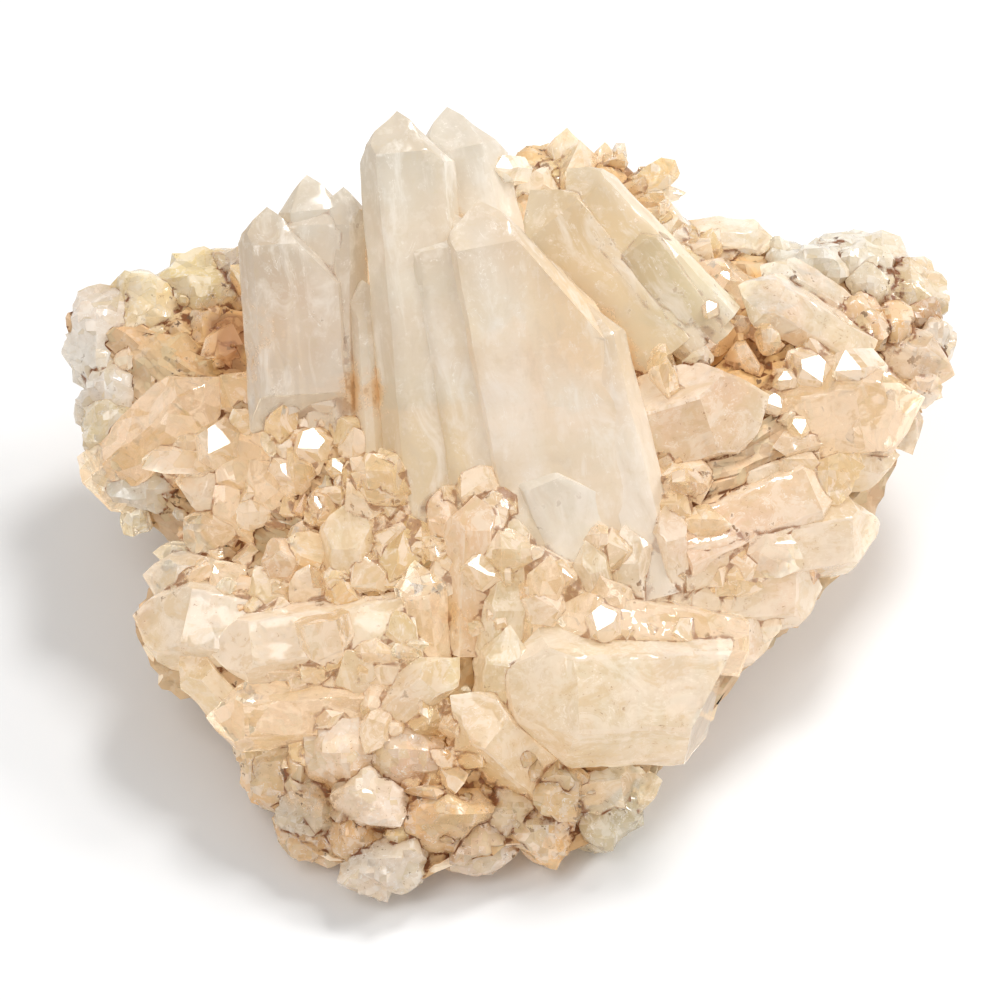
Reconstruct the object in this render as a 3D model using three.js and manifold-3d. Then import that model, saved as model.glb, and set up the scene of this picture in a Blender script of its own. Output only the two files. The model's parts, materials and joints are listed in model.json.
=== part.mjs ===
// A quartz crystal cluster: long blades standing in parallel on a rough, iron-stained bed of broken
// quartz, with shorter points lying out to every side. It grew as one piece, so it is one solid.
//
// Everything is in millimetres. The part's frame has +Z up, with its origin in the middle of the flat
// place that the cluster rests on. Shapes are placed in the face frame, which looks straight out of
// the side that the crystals grow from: x to the right, y up the face, z out of it.

import * as THREE from "three";
import { mergeVertices } from "three/addons/utils/BufferGeometryUtils.js";
import Module from "manifold-3d";

const wasm = await Module();
wasm.setup();

const FACE_TILT = THREE.MathUtils.degToRad(40); // the face frame's y axis, above the floor
const FACE_HEIGHT = 45; // the face frame's origin, above the floor
const EYE = 833; // places on the face are given as they look from this far in front of it

// The angle between a quartz crystal's axis and the normals of its cap faces.
const CAP_ANGLE = THREE.MathUtils.degToRad(51.8);
const UNEVEN = 0.07; // share by which a crystal's faces lie nearer its axis or further from it
const SMALL_CAP_FACE = 0.09; // how far the three lesser cap faces stand off, as a share of the width
// From a six-sided prism's axis to its sides, as a share of the width.
const SIDE_DISTANCE = Math.sqrt(3) / 4;

// The bed's rim, clockwise from the left wing's tip as the face is seen: [x, y, z].
const RIM = [
  [-86, 37, -33], [-83, 40, -34], [-74, 41, -34], [-66, 44, -35], [-58, 46, -36], [-48, 50, -38],
  [-38, 53, -40], [-24, 58, -42], [-10, 63, -43], [2, 67, -43], [12, 68, -43], [24, 63, -41],
  [33, 57, -38], [45, 53, -37], [56, 51, -37], [67, 51, -38], [75, 49, -37], [82, 44, -35],
  [86, 38, -32], [88, 32, -30], [87, 25, -28], [83, 15, -25], [79, 5, -22], [74, -5, -19],
  [69, -14, -17], [58, -25, -13], [50, -31, -10], [42, -44, -2], [34, -52, 2], [26, -64, 7],
  [14, -69, 10], [1, -70, 12], [-12, -74, 14], [-24, -77, 15], [-34, -72, 13], [-43, -65, 10],
  [-49, -55, 6], [-53, -47, 3], [-62, -41, 1], [-70, -36, 0], [-72, -29, -2], [-71, -20, -6],
  [-67, -12, -10], [-61, -6.5, -13], [-69, -1, -17], [-78, 5, -21], [-81, 15, -25], [-84, 26, -30],
];
const BED_MIDDLE = [0, -12, 10]; // the highest place of the bed, under the blades' feet
const BED_SWELL = 2.3; // above 1, the bed stays high near its middle and drops towards the rim
const BED_RINGS = [0.9, 0.75, 0.55, 0.35, 0.16]; // distance from the middle, as a share of the rim's
const BED_ROUGHNESS = 1.5;
const FOOTPRINT = 0.62; // the flat rest's reach, as a share of the rim's
const UNDERSIDE = [{ reach: 0.93, drop: 0.3 }, { reach: 0.8, drop: 0.72 }]; // from the rim to the rest
const REST_DEPTH = 3; // what is cut off flat below the floor

// Crystals: the point of the cap, the middle of the foot, the width and depth of the prism, its turn
// about its own axis in degrees, and how far the point stands to the side of the axis.
const BLADES = [
  { name: "tall_left_blade", tip: [-20.6, 77.8, 13], foot: [-12.5, -8, 3],
    wide: 19.8, deep: 13, turn: 5, aside: -0.7 },
  { name: "left_rib", tip: [-27.5, 44, 5.5], foot: [-24.5, 2, 0.5], wide: 9, deep: 12, turn: -6 },
  { name: "back_blade", tip: [-10.6, 78.6, 1], foot: [9, -4, -6], wide: 17, deep: 13, turn: -6, aside: -2 },
  { name: "broad_front_blade", tip: [-4.4, 60, 12.5], foot: [17, -22, 2.5],
    wide: 33, deep: 14, turn: 2, aside: -6, cuts: [{ at: [18, 38.5, 10], facing: [0.73, 0.58, 0.36] }] },
  { name: "middle_blade", tip: [-12.5, 59, 10.8], foot: [-1, -14, 3.2],
    wide: 17, deep: 13, turn: -2, aside: 1 },
  { name: "front_rib", tip: [-7, 30, 7.7], foot: [2, -8, 2.2], wide: 14, deep: 12, turn: 2 },
  { name: "pale_front_blade", tip: [4, 9.5, 9.5], foot: [22, -24, 3],
    wide: 20, deep: 11, turn: 3, aside: -4 },
  { name: "front_flank", tip: [16, 40, 9.2], foot: [30.5, -19, 3], wide: 15, deep: 13, turn: -1 },
  { name: "right_blade_upper", tip: [13.4, 66.2, -4], foot: [42, 33, -9],
    wide: 17, deep: 10, turn: 5, aside: 2 },
  { name: "right_blade_lower", tip: [6, 62, -4], foot: [33, 29, -8.5], wide: 20, deep: 11, turn: -4 },
  { name: "right_blade_step", tip: [24, 55, -3.5], foot: [42, 31, -8], wide: 13, deep: 8, turn: -2 },
  { name: "left_stack_outer", tip: [-46.6, 58.6, 8], foot: [-39.5, 14, 1],
    wide: 22, deep: 11, turn: 4, aside: -4.5, cuts: [{ at: [-38, 20, 6], facing: [0.1, -0.75, 0.65] }] },
  { name: "left_stack_middle", tip: [-38.6, 65, 4], foot: [-34, 12, -3], wide: 14, deep: 11, turn: 8 },
  { name: "left_stack_inner", tip: [-31.3, 62.6, 5], foot: [-31, 14, -1], wide: 10, deep: 11 },
  { name: "left_stack_plate", tip: [-37, 61, 5.5], foot: [-35, 14, 0],
    wide: 18, deep: 9, turn: -4, cuts: [{ at: [-35, 18, 4], facing: [-0.1, -0.8, 0.6] }] },
  { name: "left_stack_lower", tip: [-49, 41, 5], foot: [-42, 18, 0], wide: 8, deep: 10, turn: 6 },
];
const POINTS = [
  { name: "wing_clear", tip: [-54.6, 24.6, -8], foot: [-79, 3, -21], wide: 16, deep: 13, turn: 12 },
  { name: "wing_glassy", tip: [-58, 13, -2], foot: [-42, 1, -13], wide: 15, deep: 14 },
  { name: "wing_lower", tip: [-65, 4, -8], foot: [-42, -3, -10], wide: 11, deep: 10, turn: 14 },
  { name: "under_stack", tip: [-43, 20, 1], foot: [-36, 2, -8], wide: 15, deep: 12 },
  { name: "facing_hexagon", tip: [-30.5, 15.5, 8], foot: [-29, 11, -6], wide: 9, deep: 8, turn: 30 },
  { name: "stack_neighbour", tip: [-50, 23, -6], foot: [-46, 12, -13], wide: 7, deep: 6, turn: 10 },
  { name: "sparkle_1", tip: [-38, 11, 6], foot: [-36, 5, -5], wide: 8, deep: 7, turn: 25 },
  { name: "sparkle_2", tip: [-43, 5, 4], foot: [-40, 0, -6], wide: 7, deep: 6, turn: 10 },
  { name: "sparkle_3", tip: [-29, 4, 9], foot: [-27, -1, -3], wide: 9, deep: 8, turn: 18 },
  { name: "sparkle_4", tip: [-49, 14, 0], foot: [-46, 9, -9], wide: 6, deep: 5 },
  { name: "sparkle_5", tip: [-36, 1, 7], foot: [-33, -5, -3], wide: 8, deep: 7, turn: -15 },
  { name: "corner_point", tip: [-73.5, -23, -3], foot: [-48, -28, -2], wide: 22, deep: 18, turn: 10 },
  { name: "corner_upper", tip: [-71.5, -15, -6], foot: [-52, -18, -7], wide: 13, deep: 11 },
  { name: "corner_notch", tip: [-69.5, -10.5, -9], foot: [-55, -12, -11], wide: 7, deep: 7, turn: 16 },
  { name: "corner_inner", tip: [-57, -12, 0], foot: [-50, -24, -5], wide: 10, deep: 9, turn: 22 },
  { name: "facing_wedge", tip: [-44, -10, 11], foot: [-44, -15, -4], wide: 9, deep: 9, turn: 12 },
  { name: "honey_block", tip: [-30, 0, 9], foot: [-29, -23, 2], wide: 14, deep: 12, turn: -8 },
  { name: "honey_side", tip: [-49, -13, 5], foot: [-42, -25, 0], wide: 10, deep: 9 },
  { name: "stained_peak", tip: [-20, -2, 11], foot: [-20, -17, 0], wide: 10, deep: 9, turn: 14 },
  { name: "long_lying", tip: [-57.6, -31, 6], foot: [-16, -25, 9], wide: 16.5, deep: 14, turn: 10 },
  { name: "glassy_lying", tip: [-58.8, -43.5, 8], foot: [-16, -41, 10], wide: 14, deep: 13, turn: -6 },
  { name: "lower_left_short", tip: [-64, -31, 4], foot: [-50, -46, 1], wide: 9, deep: 9, turn: 20 },
  { name: "stub_between", tip: [-31, -30, 17], foot: [-25, -38, 6], wide: 12, deep: 10 },
  { name: "honey_slanting", tip: [-8, -31.4, 19], foot: [-29, -48, 8], wide: 11, deep: 10, turn: 12 },
  { name: "greenish_glassy", tip: [-10, -39, 18], foot: [9, -56, 6], wide: 16, deep: 15, turn: 8 },
  { name: "clear_upright", tip: [-17, -12, 15], foot: [-13.6, -35, 7], wide: 11, deep: 10, turn: -10 },
  { name: "rosy_upright", tip: [-5, 1, 15], foot: [-6.4, -30, 7], wide: 10.5, deep: 10, turn: 10 },
  { name: "olive_upright", tip: [2, -3, 12], foot: [4, -25, 5], wide: 9, deep: 9 },
  { name: "olive_lower", tip: [1, -14, 13], foot: [-1, -40, 5], wide: 12, deep: 10, turn: 18 },
  { name: "small_upright", tip: [10, -11, 17], foot: [8, -29, 7], wide: 9, deep: 9, turn: 5 },
  { name: "olive_wedge", tip: [2, -25, 17], foot: [0, -48, 7], wide: 12, deep: 11, turn: -12 },
  { name: "great_lying", tip: [-4, -37.5, 17], foot: [44, -38, 4],
    wide: 29, deep: 25, turn: 4, aside: 2,
    cuts: [
      { at: [1.5, -42, 15], facing: [-0.93, -0.22, 0.3] },
      { at: [43, -40, 8], facing: [0.88, -0.42, 0.2] },
    ] },
  { name: "foot_point_1", tip: [17, -8, 14], foot: [22, -27, 4], wide: 9, deep: 9, turn: 10 },
  { name: "foot_point_2", tip: [25, -5, 12], foot: [28, -26, 2], wide: 11, deep: 10, turn: -8 },
  { name: "foot_point_3", tip: [33, -1, 10], foot: [36, -24, 0], wide: 10, deep: 9, turn: 14 },
  { name: "foot_point_4", tip: [20, -15, 15], foot: [25, -30, 5], wide: 10, deep: 9 },
  { name: "left_foot_1", tip: [-22, 4, 9.5], foot: [-20, -12, 0], wide: 8, deep: 8, turn: 12 },
  { name: "left_foot_2", tip: [-12, 2, 11], foot: [-12, -14, 1], wide: 9, deep: 8, turn: -10 },
  { name: "stub_right", tip: [-21, -22, 17], foot: [-16, -37, 7], wide: 9, deep: 9, turn: 15 },
  { name: "left_clear_1", tip: [-50, 8, 0], foot: [-40, -6, -9], wide: 12, deep: 10, turn: 8 },
  { name: "left_clear_2", tip: [-57, 3, -4], foot: [-46, -8, -10], wide: 10, deep: 9, turn: -12 },
  { name: "slab_right_1", tip: [38, 47, -19], foot: [53, 36, -28], wide: 12, deep: 10, turn: 6 },
  { name: "slab_right_2", tip: [47, 36, -11], foot: [36, 26, -19], wide: 10, deep: 9, turn: 20 },
  { name: "rim_point_1", tip: [66, 48.5, -31], foot: [60, 36, -36], wide: 9, deep: 8, turn: 8 },
  { name: "rim_point_2", tip: [44, 54, -33], foot: [46, 42, -38], wide: 8, deep: 8, turn: -10 },
  { name: "great_lying_crest", tip: [10, -23, 13], foot: [48, -29, 4], wide: 13, deep: 12, turn: 24 },
  { name: "beneath_great", tip: [32.5, -56, 2], foot: [6, -61, 4], wide: 16, deep: 15, turn: 10 },
  { name: "right_low_outer", tip: [64.5, -17.5, -13], foot: [26, -18, 2], wide: 18, deep: 15, turn: 8 },
  { name: "right_low_inner", tip: [55, -27, -8], foot: [28, -27, 0], wide: 15, deep: 12 },
  { name: "right_long", tip: [76, -4.6, -15], foot: [34, -12, 2], wide: 19, deep: 16, turn: 16 },
  { name: "right_ridge", tip: [67, 3, -7], foot: [35, -10, 4], wide: 16, deep: 11, turn: -8 },
  { name: "right_filler", tip: [61, 8, -9], foot: [37, 0, -3], wide: 11, deep: 10, turn: 12 },
  { name: "milky_round", tip: [54, 21, 0], foot: [30, 14, -5], wide: 23, deep: 19, turn: 12 },
  { name: "below_milky", tip: [40, -1, 5], foot: [34, 12, -5], wide: 12, deep: 10, turn: -14 },
  { name: "right_glassy", tip: [85, 20.5, -9], foot: [56, 16, -15], wide: 25, deep: 20, turn: 18 },
  { name: "right_glassy_low", tip: [80, 9, -13], foot: [60, 6, -15], wide: 13, deep: 12, turn: -10 },
  { name: "rim_cream", tip: [91, 25, -24], foot: [76, 30, -28], wide: 14, deep: 12, turn: 10 },
  { name: "rim_flank", tip: [82.5, 9, -20], foot: [75, 24, -26], wide: 12, deep: 10 },
  { name: "smoky_prism", tip: [47.6, 43, -10], foot: [72, 29, -19], wide: 13, deep: 12, turn: 14 },
  { name: "smoky_behind", tip: [52, 47, -17], foot: [68, 37, -25], wide: 10, deep: 9, turn: -8 },
  { name: "rim_lilac", tip: [55, 52, -34], foot: [33, 53, -36], wide: 9, deep: 9, turn: 8 },
  { name: "back_grey", tip: [13.4, 74.5, -38], foot: [12, 60, -44], wide: 9.5, deep: 9 },
  { name: "back_grey_low", tip: [21, 71.6, -40], foot: [20, 58, -44], wide: 7, deep: 7, turn: 10 },
  { name: "white_block", tip: [28, 58, -26], foot: [38, 49, -33], wide: 10, deep: 9, turn: 20 },
  { name: "pink_between", tip: [43, 31, -3], foot: [35, 32, -13], wide: 9, deep: 8, turn: 12 },
  { name: "amber_pair_1", tip: [57, 25, -3], foot: [57, 20, -15], wide: 7, deep: 7, turn: 8 },
  { name: "amber_pair_2", tip: [62, 27, -5], foot: [63, 23, -16], wide: 7, deep: 6, turn: 22 },
  { name: "amber_low", tip: [57, 16, -2], foot: [59, 15, -14], wide: 7, deep: 7, turn: 15 },
  { name: "rosy_splinter", tip: [54.5, 10.6, -1], foot: [67, 12.5, -9], wide: 6, deep: 5 },
];

// Lumps of broken quartz: the middle and the three half-sizes.
const LUMPS = [
  { name: "wing_end", at: [-78.8, 31.2, -33], size: [9, 12.3, 10.1] },
  { name: "wing_yellow", at: [-69, 36.2, -34], size: [13.4, 9, 10.1] },
  { name: "wing_orange", at: [-58.1, 40.2, -34], size: [13.4, 9, 11.2] },
  { name: "wing_shoulder", at: [-51.2, 42.2, -32], size: [7.8, 9, 10.1] },
  { name: "wing_flake", at: [-65, 30.2, -28], size: [10.1, 5.6, 6.7] },
  { name: "wing_brown", at: [-55.2, 31.2, -27], size: [10.1, 6.7, 9] },
  { name: "wing_side", at: [-75.8, 20, -27], size: [9, 9, 9] },
  { name: "wing_knob", at: [-76.8, 13, -23], size: [6.7, 7.8, 7.8] },
  { name: "wing_under", at: [-70.9, 4, -20], size: [10.1, 6.7, 9] },
  { name: "front_peach", at: [-42, -54.6, 6], size: [8.4, 7.8, 7.8] },
  { name: "front_lilac", at: [-37.4, -60.6, 9], size: [6.7, 7.8, 7.8] },
  { name: "front_double_left", at: [-30.5, -50, 11], size: [9, 8.4, 9] },
  { name: "front_double_right", at: [-19.3, -51.1, 12], size: [9, 6.2, 7.8] },
  { name: "front_white", at: [-26.6, -59.6, 14], size: [9, 6.2, 7.8] },
  { name: "front_middle", at: [-11.8, -62.1, 10], size: [11.2, 9, 9] },
  { name: "front_foot", at: [-23.2, -72.6, 12], size: [9.5, 6.7, 7.8] },
  { name: "front_small", at: [-28.6, -66.6, 12], size: [6.2, 5.6, 6.7] },
  { name: "front_amber", at: [-19.7, -66.6, 12], size: [5.6, 4.5, 5.6] },
  { name: "front_orange", at: [10.8, -58.6, 9], size: [6.2, 8.4, 7.8] },
  { name: "front_rosy", at: [8.9, -66.1, 7], size: [7.8, 6.7, 7.8] },
  { name: "front_grey", at: [2, -61.1, 9], size: [5.6, 5.6, 6.7] },
  { name: "front_brown", at: [-7.9, -54.1, 9], size: [6.2, 5, 6.7] },
  { name: "front_left_foot", at: [-36.8, -66.2, 7], size: [8.4, 6.7, 6.7] },
  { name: "left_flank", at: [-47.3, -52.6, 1], size: [5.6, 9, 6.7] },
  { name: "front_right_foot", at: [-4.9, -68.6, 8], size: [9, 6.2, 6.7] },
  { name: "right_foot", at: [19.7, -62.6, 3], size: [10.1, 7.8, 7.8] },
  { name: "right_orange_ball", at: [71.9, 35.2, -23], size: [5.6, 6.7, 6.7] },
  { name: "right_pink_ball", at: [78.3, 34.2, -26], size: [5.6, 5.6, 6.7] },
  { name: "right_grey_ball", at: [74.9, 41.7, -30], size: [6.7, 5.6, 6.7] },
  { name: "right_back_dome", at: [71.9, 46.2, -36], size: [10.1, 7.8, 10.1] },
  { name: "right_back_green", at: [80.8, 41.2, -35], size: [7.8, 7.8, 9] },
  { name: "right_rim_brown", at: [82.7, 36.2, -31], size: [5.6, 4.5, 5.6] },
  { name: "right_rim_white", at: [86.7, 32.2, -30], size: [3.9, 5.6, 5.6] },
  { name: "back_gold", at: [5.9, 64.2, -43], size: [10.1, 6.7, 7.8] },
  { name: "back_orange", at: [19.7, 60.2, -40], size: [9, 6.7, 7.8] },
  { name: "back_lumps", at: [27.6, 59.7, -41], size: [6.7, 6.2, 6.7] },
  { name: "back_pale", at: [32.5, 51.2, -34], size: [7.8, 5.6, 6.7] },
  { name: "behind_right_blade", at: [35.5, 44.2, -27], size: [7.8, 9, 7.8] },
  { name: "beside_right_blade", at: [40.4, 37.2, -22], size: [7.8, 6.7, 7.8] },
  { name: "back_beige", at: [61.1, 45.7, -33], size: [11.2, 6.7, 9] },
];
const LUMP_FACES = 13; // flat faces that a lump is broken to
const LUMP_LEAN = 0.25; // how far a lump's faces lean out of an even spread
const LUMP_REACH = { least: 0.82, spread: 0.2 }; // their distance, as a share of the ellipsoid's
const BLOCK_SHARE = 1.2; // the block that a lump is cut from, as a share of its half-sizes

// A repeatable number from 0 to 1 for a whole number.
function chance(seed) {
  const wave = Math.sin(seed * 127.1 + 311.7) * 43758.5453;
  return wave - Math.floor(wave);
}

// The place in the face frame of a point that is given as it looks from the eye.
function seen([x, y, z]) {
  const spread = 1 - z / EYE;
  return new THREE.Vector3(x * spread, y * spread, z);
}

// A closed three.js geometry as a solid that can be cut and joined.
function solidOf(geometry) {
  const bare = geometry.clone();
  bare.deleteAttribute("normal");
  bare.deleteAttribute("uv");
  const merged = mergeVertices(bare, 1e-4);
  return new wasm.Manifold(
    new wasm.Mesh({
      numProp: 3,
      vertProperties: merged.attributes.position.array,
      triVerts: new Uint32Array(merged.index.array),
    }),
  );
}

// The side of a solid that lies behind a plane with this outward normal, at this distance.
function keepBehind(solid, normal, distance) {
  return solid.trimByPlane([-normal.x, -normal.y, -normal.z], -distance);
}

// A quartz crystal: a prism with six sides at 60 degrees and a cap of three large and three small
// faces. The block that it is cut from reaches past the point.
function crystal({ tip, foot, wide, deep, turn = 0, aside = 0, cuts = [] }, seed) {
  const point = seen(tip);
  const start = seen(foot);
  const across = new THREE.Vector3();
  const outwards = new THREE.Vector3();
  const along = new THREE.Vector3().subVectors(point, start).normalize();
  across.crossVectors(along, new THREE.Vector3(0, 0, 1)).normalize();
  const head = point.clone().addScaledVector(across, -aside);
  along.subVectors(head, start).normalize();
  across.crossVectors(along, new THREE.Vector3(0, 0, 1)).normalize();
  outwards.crossVectors(across, along);

  const length = head.distanceTo(start);
  const block = new THREE.BoxGeometry(3 * wide, 3 * wide, length + wide);
  block.translate(0, 0, (length + wide) / 2);
  const frame = new THREE.Matrix4().makeBasis(across, outwards, along).setPosition(start);
  let solid = solidOf(block).transform(frame.elements);

  for (let side = 0; side < 6; side += 1) {
    const angle = THREE.MathUtils.degToRad(60 * side + turn);
    const normal = new THREE.Vector3()
      .addScaledVector(outwards, Math.cos(angle))
      .addScaledVector(across, Math.sin(angle));
    const half = side % 3 === 0 ? deep / 2 : wide * SIDE_DISTANCE;
    const reach = half * (1 + UNEVEN * (2 * chance(seed * 12 + side) - 1));
    solid = keepBehind(solid, normal, normal.dot(start) + reach);

    const cap = normal
      .clone()
      .multiplyScalar(Math.sin(CAP_ANGLE))
      .addScaledVector(along, Math.cos(CAP_ANGLE));
    const lesser = side % 2 === 1 ? SMALL_CAP_FACE * wide * (0.4 + chance(seed * 12 + 6 + side)) : 0;
    solid = keepBehind(solid, cap, cap.dot(point) + lesser);
  }
  cuts.forEach(({ at, facing }) => {
    const normal = new THREE.Vector3(...facing).normalize();
    solid = keepBehind(solid, normal, normal.dot(seen(at)));
  });
  return solid;
}

// A lump of broken quartz: a block cut flat all round by planes that touch an ellipsoid, or nearly.
function lump({ at, size }, seed) {
  const middle = seen(at);
  const half = new THREE.Vector3(...size);
  const [width, height, depth] = half.clone().multiplyScalar(2 * BLOCK_SHARE).toArray();
  const block = new THREE.BoxGeometry(width, height, depth);
  block.translate(middle.x, middle.y, middle.z);
  let solid = solidOf(block);
  for (let i = 0; i < LUMP_FACES; i += 1) {
    const up = 1 - (2 * (i + 0.5)) / LUMP_FACES;
    const around = i * Math.PI * (3 - Math.sqrt(5)) + seed;
    const flat = Math.sqrt(1 - up * up);
    const facing = new THREE.Vector3(flat * Math.cos(around), flat * Math.sin(around), up);
    facing.x += LUMP_LEAN * (2 * chance(seed * 31 + i) - 1);
    facing.y += LUMP_LEAN * (2 * chance(seed * 37 + i) - 1);
    facing.normalize();
    const share = LUMP_REACH.least + LUMP_REACH.spread * chance(seed * 41 + i);
    const reach = facing.clone().multiply(half).length() * share;
    solid = keepBehind(solid, facing, facing.dot(middle) + reach);
  }
  return solid;
}

const toPart = new THREE.Matrix4()
  .makeRotationX(FACE_TILT)
  .setPosition(0, 0, FACE_HEIGHT);

// The bed: rings of points from its middle out to the rim, then down the underside to the flat rest.
// It is given in the part's frame, because the rest is level.
function bed() {
  const rings = [];
  const roughen = (point, seed) => {
    point.x += BED_ROUGHNESS * (2 * chance(seed) - 1);
    point.y += BED_ROUGHNESS * (2 * chance(seed + 0.3) - 1);
    point.z += BED_ROUGHNESS * (2 * chance(seed + 0.6) - 1);
    return point;
  };
  const middle = seen(BED_MIDDLE).applyMatrix4(toPart);
  BED_RINGS.slice()
    .reverse()
    .forEach((share, ring) => {
      rings.push(
        RIM.map(([x, y, z], i) => {
          const drop = Math.pow(share, BED_SWELL);
          const point = seen([
            BED_MIDDLE[0] + share * (x - BED_MIDDLE[0]),
            BED_MIDDLE[1] + share * (y - BED_MIDDLE[1]),
            BED_MIDDLE[2] + drop * (z - BED_MIDDLE[2]),
          ]);
          return roughen(point.applyMatrix4(toPart), 100 * ring + i);
        }),
      );
    });
  const rim = RIM.map((place, i) => roughen(seen(place).applyMatrix4(toPart), 700 + i));
  rings.push(rim);
  UNDERSIDE.forEach(({ reach, drop }, ring) => {
    rings.push(
      rim.map((p, i) => {
        const lower = new THREE.Vector3(p.x * reach, p.y * reach, p.z * (1 - drop));
        return roughen(lower, 800 + 100 * ring + i);
      }),
    );
  });
  rings.push(rim.map((p) => new THREE.Vector3(p.x * FOOTPRINT, p.y * FOOTPRINT, -REST_DEPTH)));

  const count = RIM.length;
  const places = [...rings.flat(), middle, new THREE.Vector3(0, 0, -REST_DEPTH)];
  const top = places.length - 2;
  const bottom = places.length - 1;
  const faces = [];
  for (let i = 0; i < count; i += 1) {
    const next = (i + 1) % count;
    faces.push(top, next, i);
    for (let ring = 0; ring < rings.length - 1; ring += 1) {
      const inner = ring * count;
      const outer = inner + count;
      faces.push(inner + i, inner + next, outer + i);
      faces.push(inner + next, outer + next, outer + i);
    }
    const last = (rings.length - 1) * count;
    faces.push(bottom, last + i, last + next);
  }
  const geometry = new THREE.BufferGeometry();
  geometry.setAttribute("position", new THREE.Float32BufferAttribute(places.flatMap((p) => p.toArray()), 3));
  geometry.setIndex(faces);
  return solidOf(geometry);
}

// The whole cluster, cut off level where it rests. It is solid, so only its outer skin is kept.
function cluster() {
  const grown = [
    ...[...BLADES, ...POINTS].map((shape, i) => crystal(shape, i + 1)),
    ...LUMPS.map((shape, i) => lump(shape, i + 1)),
  ].map((solid) => solid.transform(toPart.elements));
  const joined = wasm.Manifold.union([bed(), ...grown]);
  const skins = joined.trimByPlane([0, 0, 1], 0).decompose();
  return skins.reduce((best, skin) => (skin.volume() > best.volume() ? skin : best));
}

// A solid's mesh as a three.js geometry.
function geometryOf(solid) {
  const mesh = solid.getMesh();
  const geometry = new THREE.BufferGeometry();
  geometry.setAttribute("position", new THREE.BufferAttribute(mesh.vertProperties, 3));
  geometry.setIndex(new THREE.BufferAttribute(mesh.triVerts, 1));
  geometry.computeVertexNormals();
  return geometry;
}

const quartz = new THREE.MeshStandardMaterial({ color: 0xe6d3b8, roughness: 0.25, metalness: 0 });
const quartzCluster = new THREE.Mesh(geometryOf(cluster()), quartz);
quartzCluster.name = "quartz_cluster";

const part = new THREE.Group();
part.add(quartzCluster);
export default part;
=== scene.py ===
# %% [markdown]
# # A quartz cluster
# The real thing is one piece of rock crystal: tall blades grown side by side, shorter points lying
# out to every side, and a bed of broken, iron-stained quartz that they all grow from. The packed
# solid gives the forms and the sizes. This script puts finer surfaces in their place.

# %% Load the frame
import json
import math

import bpy
import numpy as np
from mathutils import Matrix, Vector

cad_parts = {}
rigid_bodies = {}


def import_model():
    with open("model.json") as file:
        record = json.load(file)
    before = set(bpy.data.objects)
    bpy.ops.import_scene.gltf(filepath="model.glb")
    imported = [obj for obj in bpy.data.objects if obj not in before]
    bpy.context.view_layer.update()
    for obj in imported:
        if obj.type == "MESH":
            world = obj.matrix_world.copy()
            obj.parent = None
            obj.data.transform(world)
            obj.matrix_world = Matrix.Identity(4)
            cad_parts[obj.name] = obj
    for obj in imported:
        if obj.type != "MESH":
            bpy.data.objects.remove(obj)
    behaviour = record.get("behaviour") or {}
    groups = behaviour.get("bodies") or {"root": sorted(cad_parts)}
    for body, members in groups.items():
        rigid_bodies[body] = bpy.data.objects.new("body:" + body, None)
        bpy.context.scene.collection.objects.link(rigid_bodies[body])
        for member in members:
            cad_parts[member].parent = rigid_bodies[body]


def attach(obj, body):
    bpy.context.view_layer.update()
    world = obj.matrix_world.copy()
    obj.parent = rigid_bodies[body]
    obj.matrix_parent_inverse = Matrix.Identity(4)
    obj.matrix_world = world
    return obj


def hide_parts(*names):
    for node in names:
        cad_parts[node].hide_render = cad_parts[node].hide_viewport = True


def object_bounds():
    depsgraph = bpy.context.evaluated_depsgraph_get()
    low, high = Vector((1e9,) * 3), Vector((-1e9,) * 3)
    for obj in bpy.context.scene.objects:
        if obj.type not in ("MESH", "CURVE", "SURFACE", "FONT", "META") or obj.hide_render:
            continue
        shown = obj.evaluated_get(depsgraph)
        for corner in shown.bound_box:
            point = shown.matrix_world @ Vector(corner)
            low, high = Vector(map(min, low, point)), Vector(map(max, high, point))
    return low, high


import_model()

CAD_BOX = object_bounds()
print("the solid's box in metres", CAD_BOX)

# %% [markdown]
# ## The face frame
# The crystals were placed as they look from in front of the side that they grow from. x runs to the
# right, y up that face and z out of it, in millimetres. One function brings such points into the
# part's frame in metres, and the camera stands on the face's z axis.

# %% Places on the face
MM = 0.001
FACE_TILT = math.radians(40)
FACE_HEIGHT = 45
EYE = 833


def seen(places):
    """Places given as they look from the eye, moved to where they are: x and y shrink with z."""
    places = np.atleast_2d(np.asarray(places, float))
    spread = 1 - places[:, 2] / EYE
    return np.column_stack([places[:, 0] * spread, places[:, 1] * spread, places[:, 2]])


def to_part(points):
    """Face frame in millimetres to the part's frame in metres: a turn about x, then a lift."""
    c, s = math.cos(FACE_TILT), math.sin(FACE_TILT)
    x, y, z = points[..., 0], points[..., 1], points[..., 2]
    return np.stack([x, c * y - s * z, s * y + c * z + FACE_HEIGHT], -1) * MM


def to_face(points):
    """The part's frame in metres back to the face frame in millimetres."""
    c, s = math.cos(FACE_TILT), math.sin(FACE_TILT)
    x, y, z = points[..., 0] / MM, points[..., 1] / MM, points[..., 2] / MM - FACE_HEIGHT
    return np.stack([x, c * y + s * z, -s * y + c * z], -1)


def chance(seed):
    """A repeatable number from 0 to 1: the fraction of a large multiple of a sine."""
    wave = np.sin(np.asarray(seed, float) * 127.1 + 311.7) * 43758.5453
    return wave - np.floor(wave)


def unit(vectors):
    """Vectors brought to length one."""
    return vectors / np.linalg.norm(vectors, axis=-1, keepdims=True)


print("the eye in metres", to_part(np.array([0, 0, EYE])).round(3))

# %% [markdown]
# ## Smooth noise
# Nothing that grew is quite flat, and smooth noise bends its faces a little. Blender has noise of its
# own, but only for one point at a time, so this one works on whole arrays of points.

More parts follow.
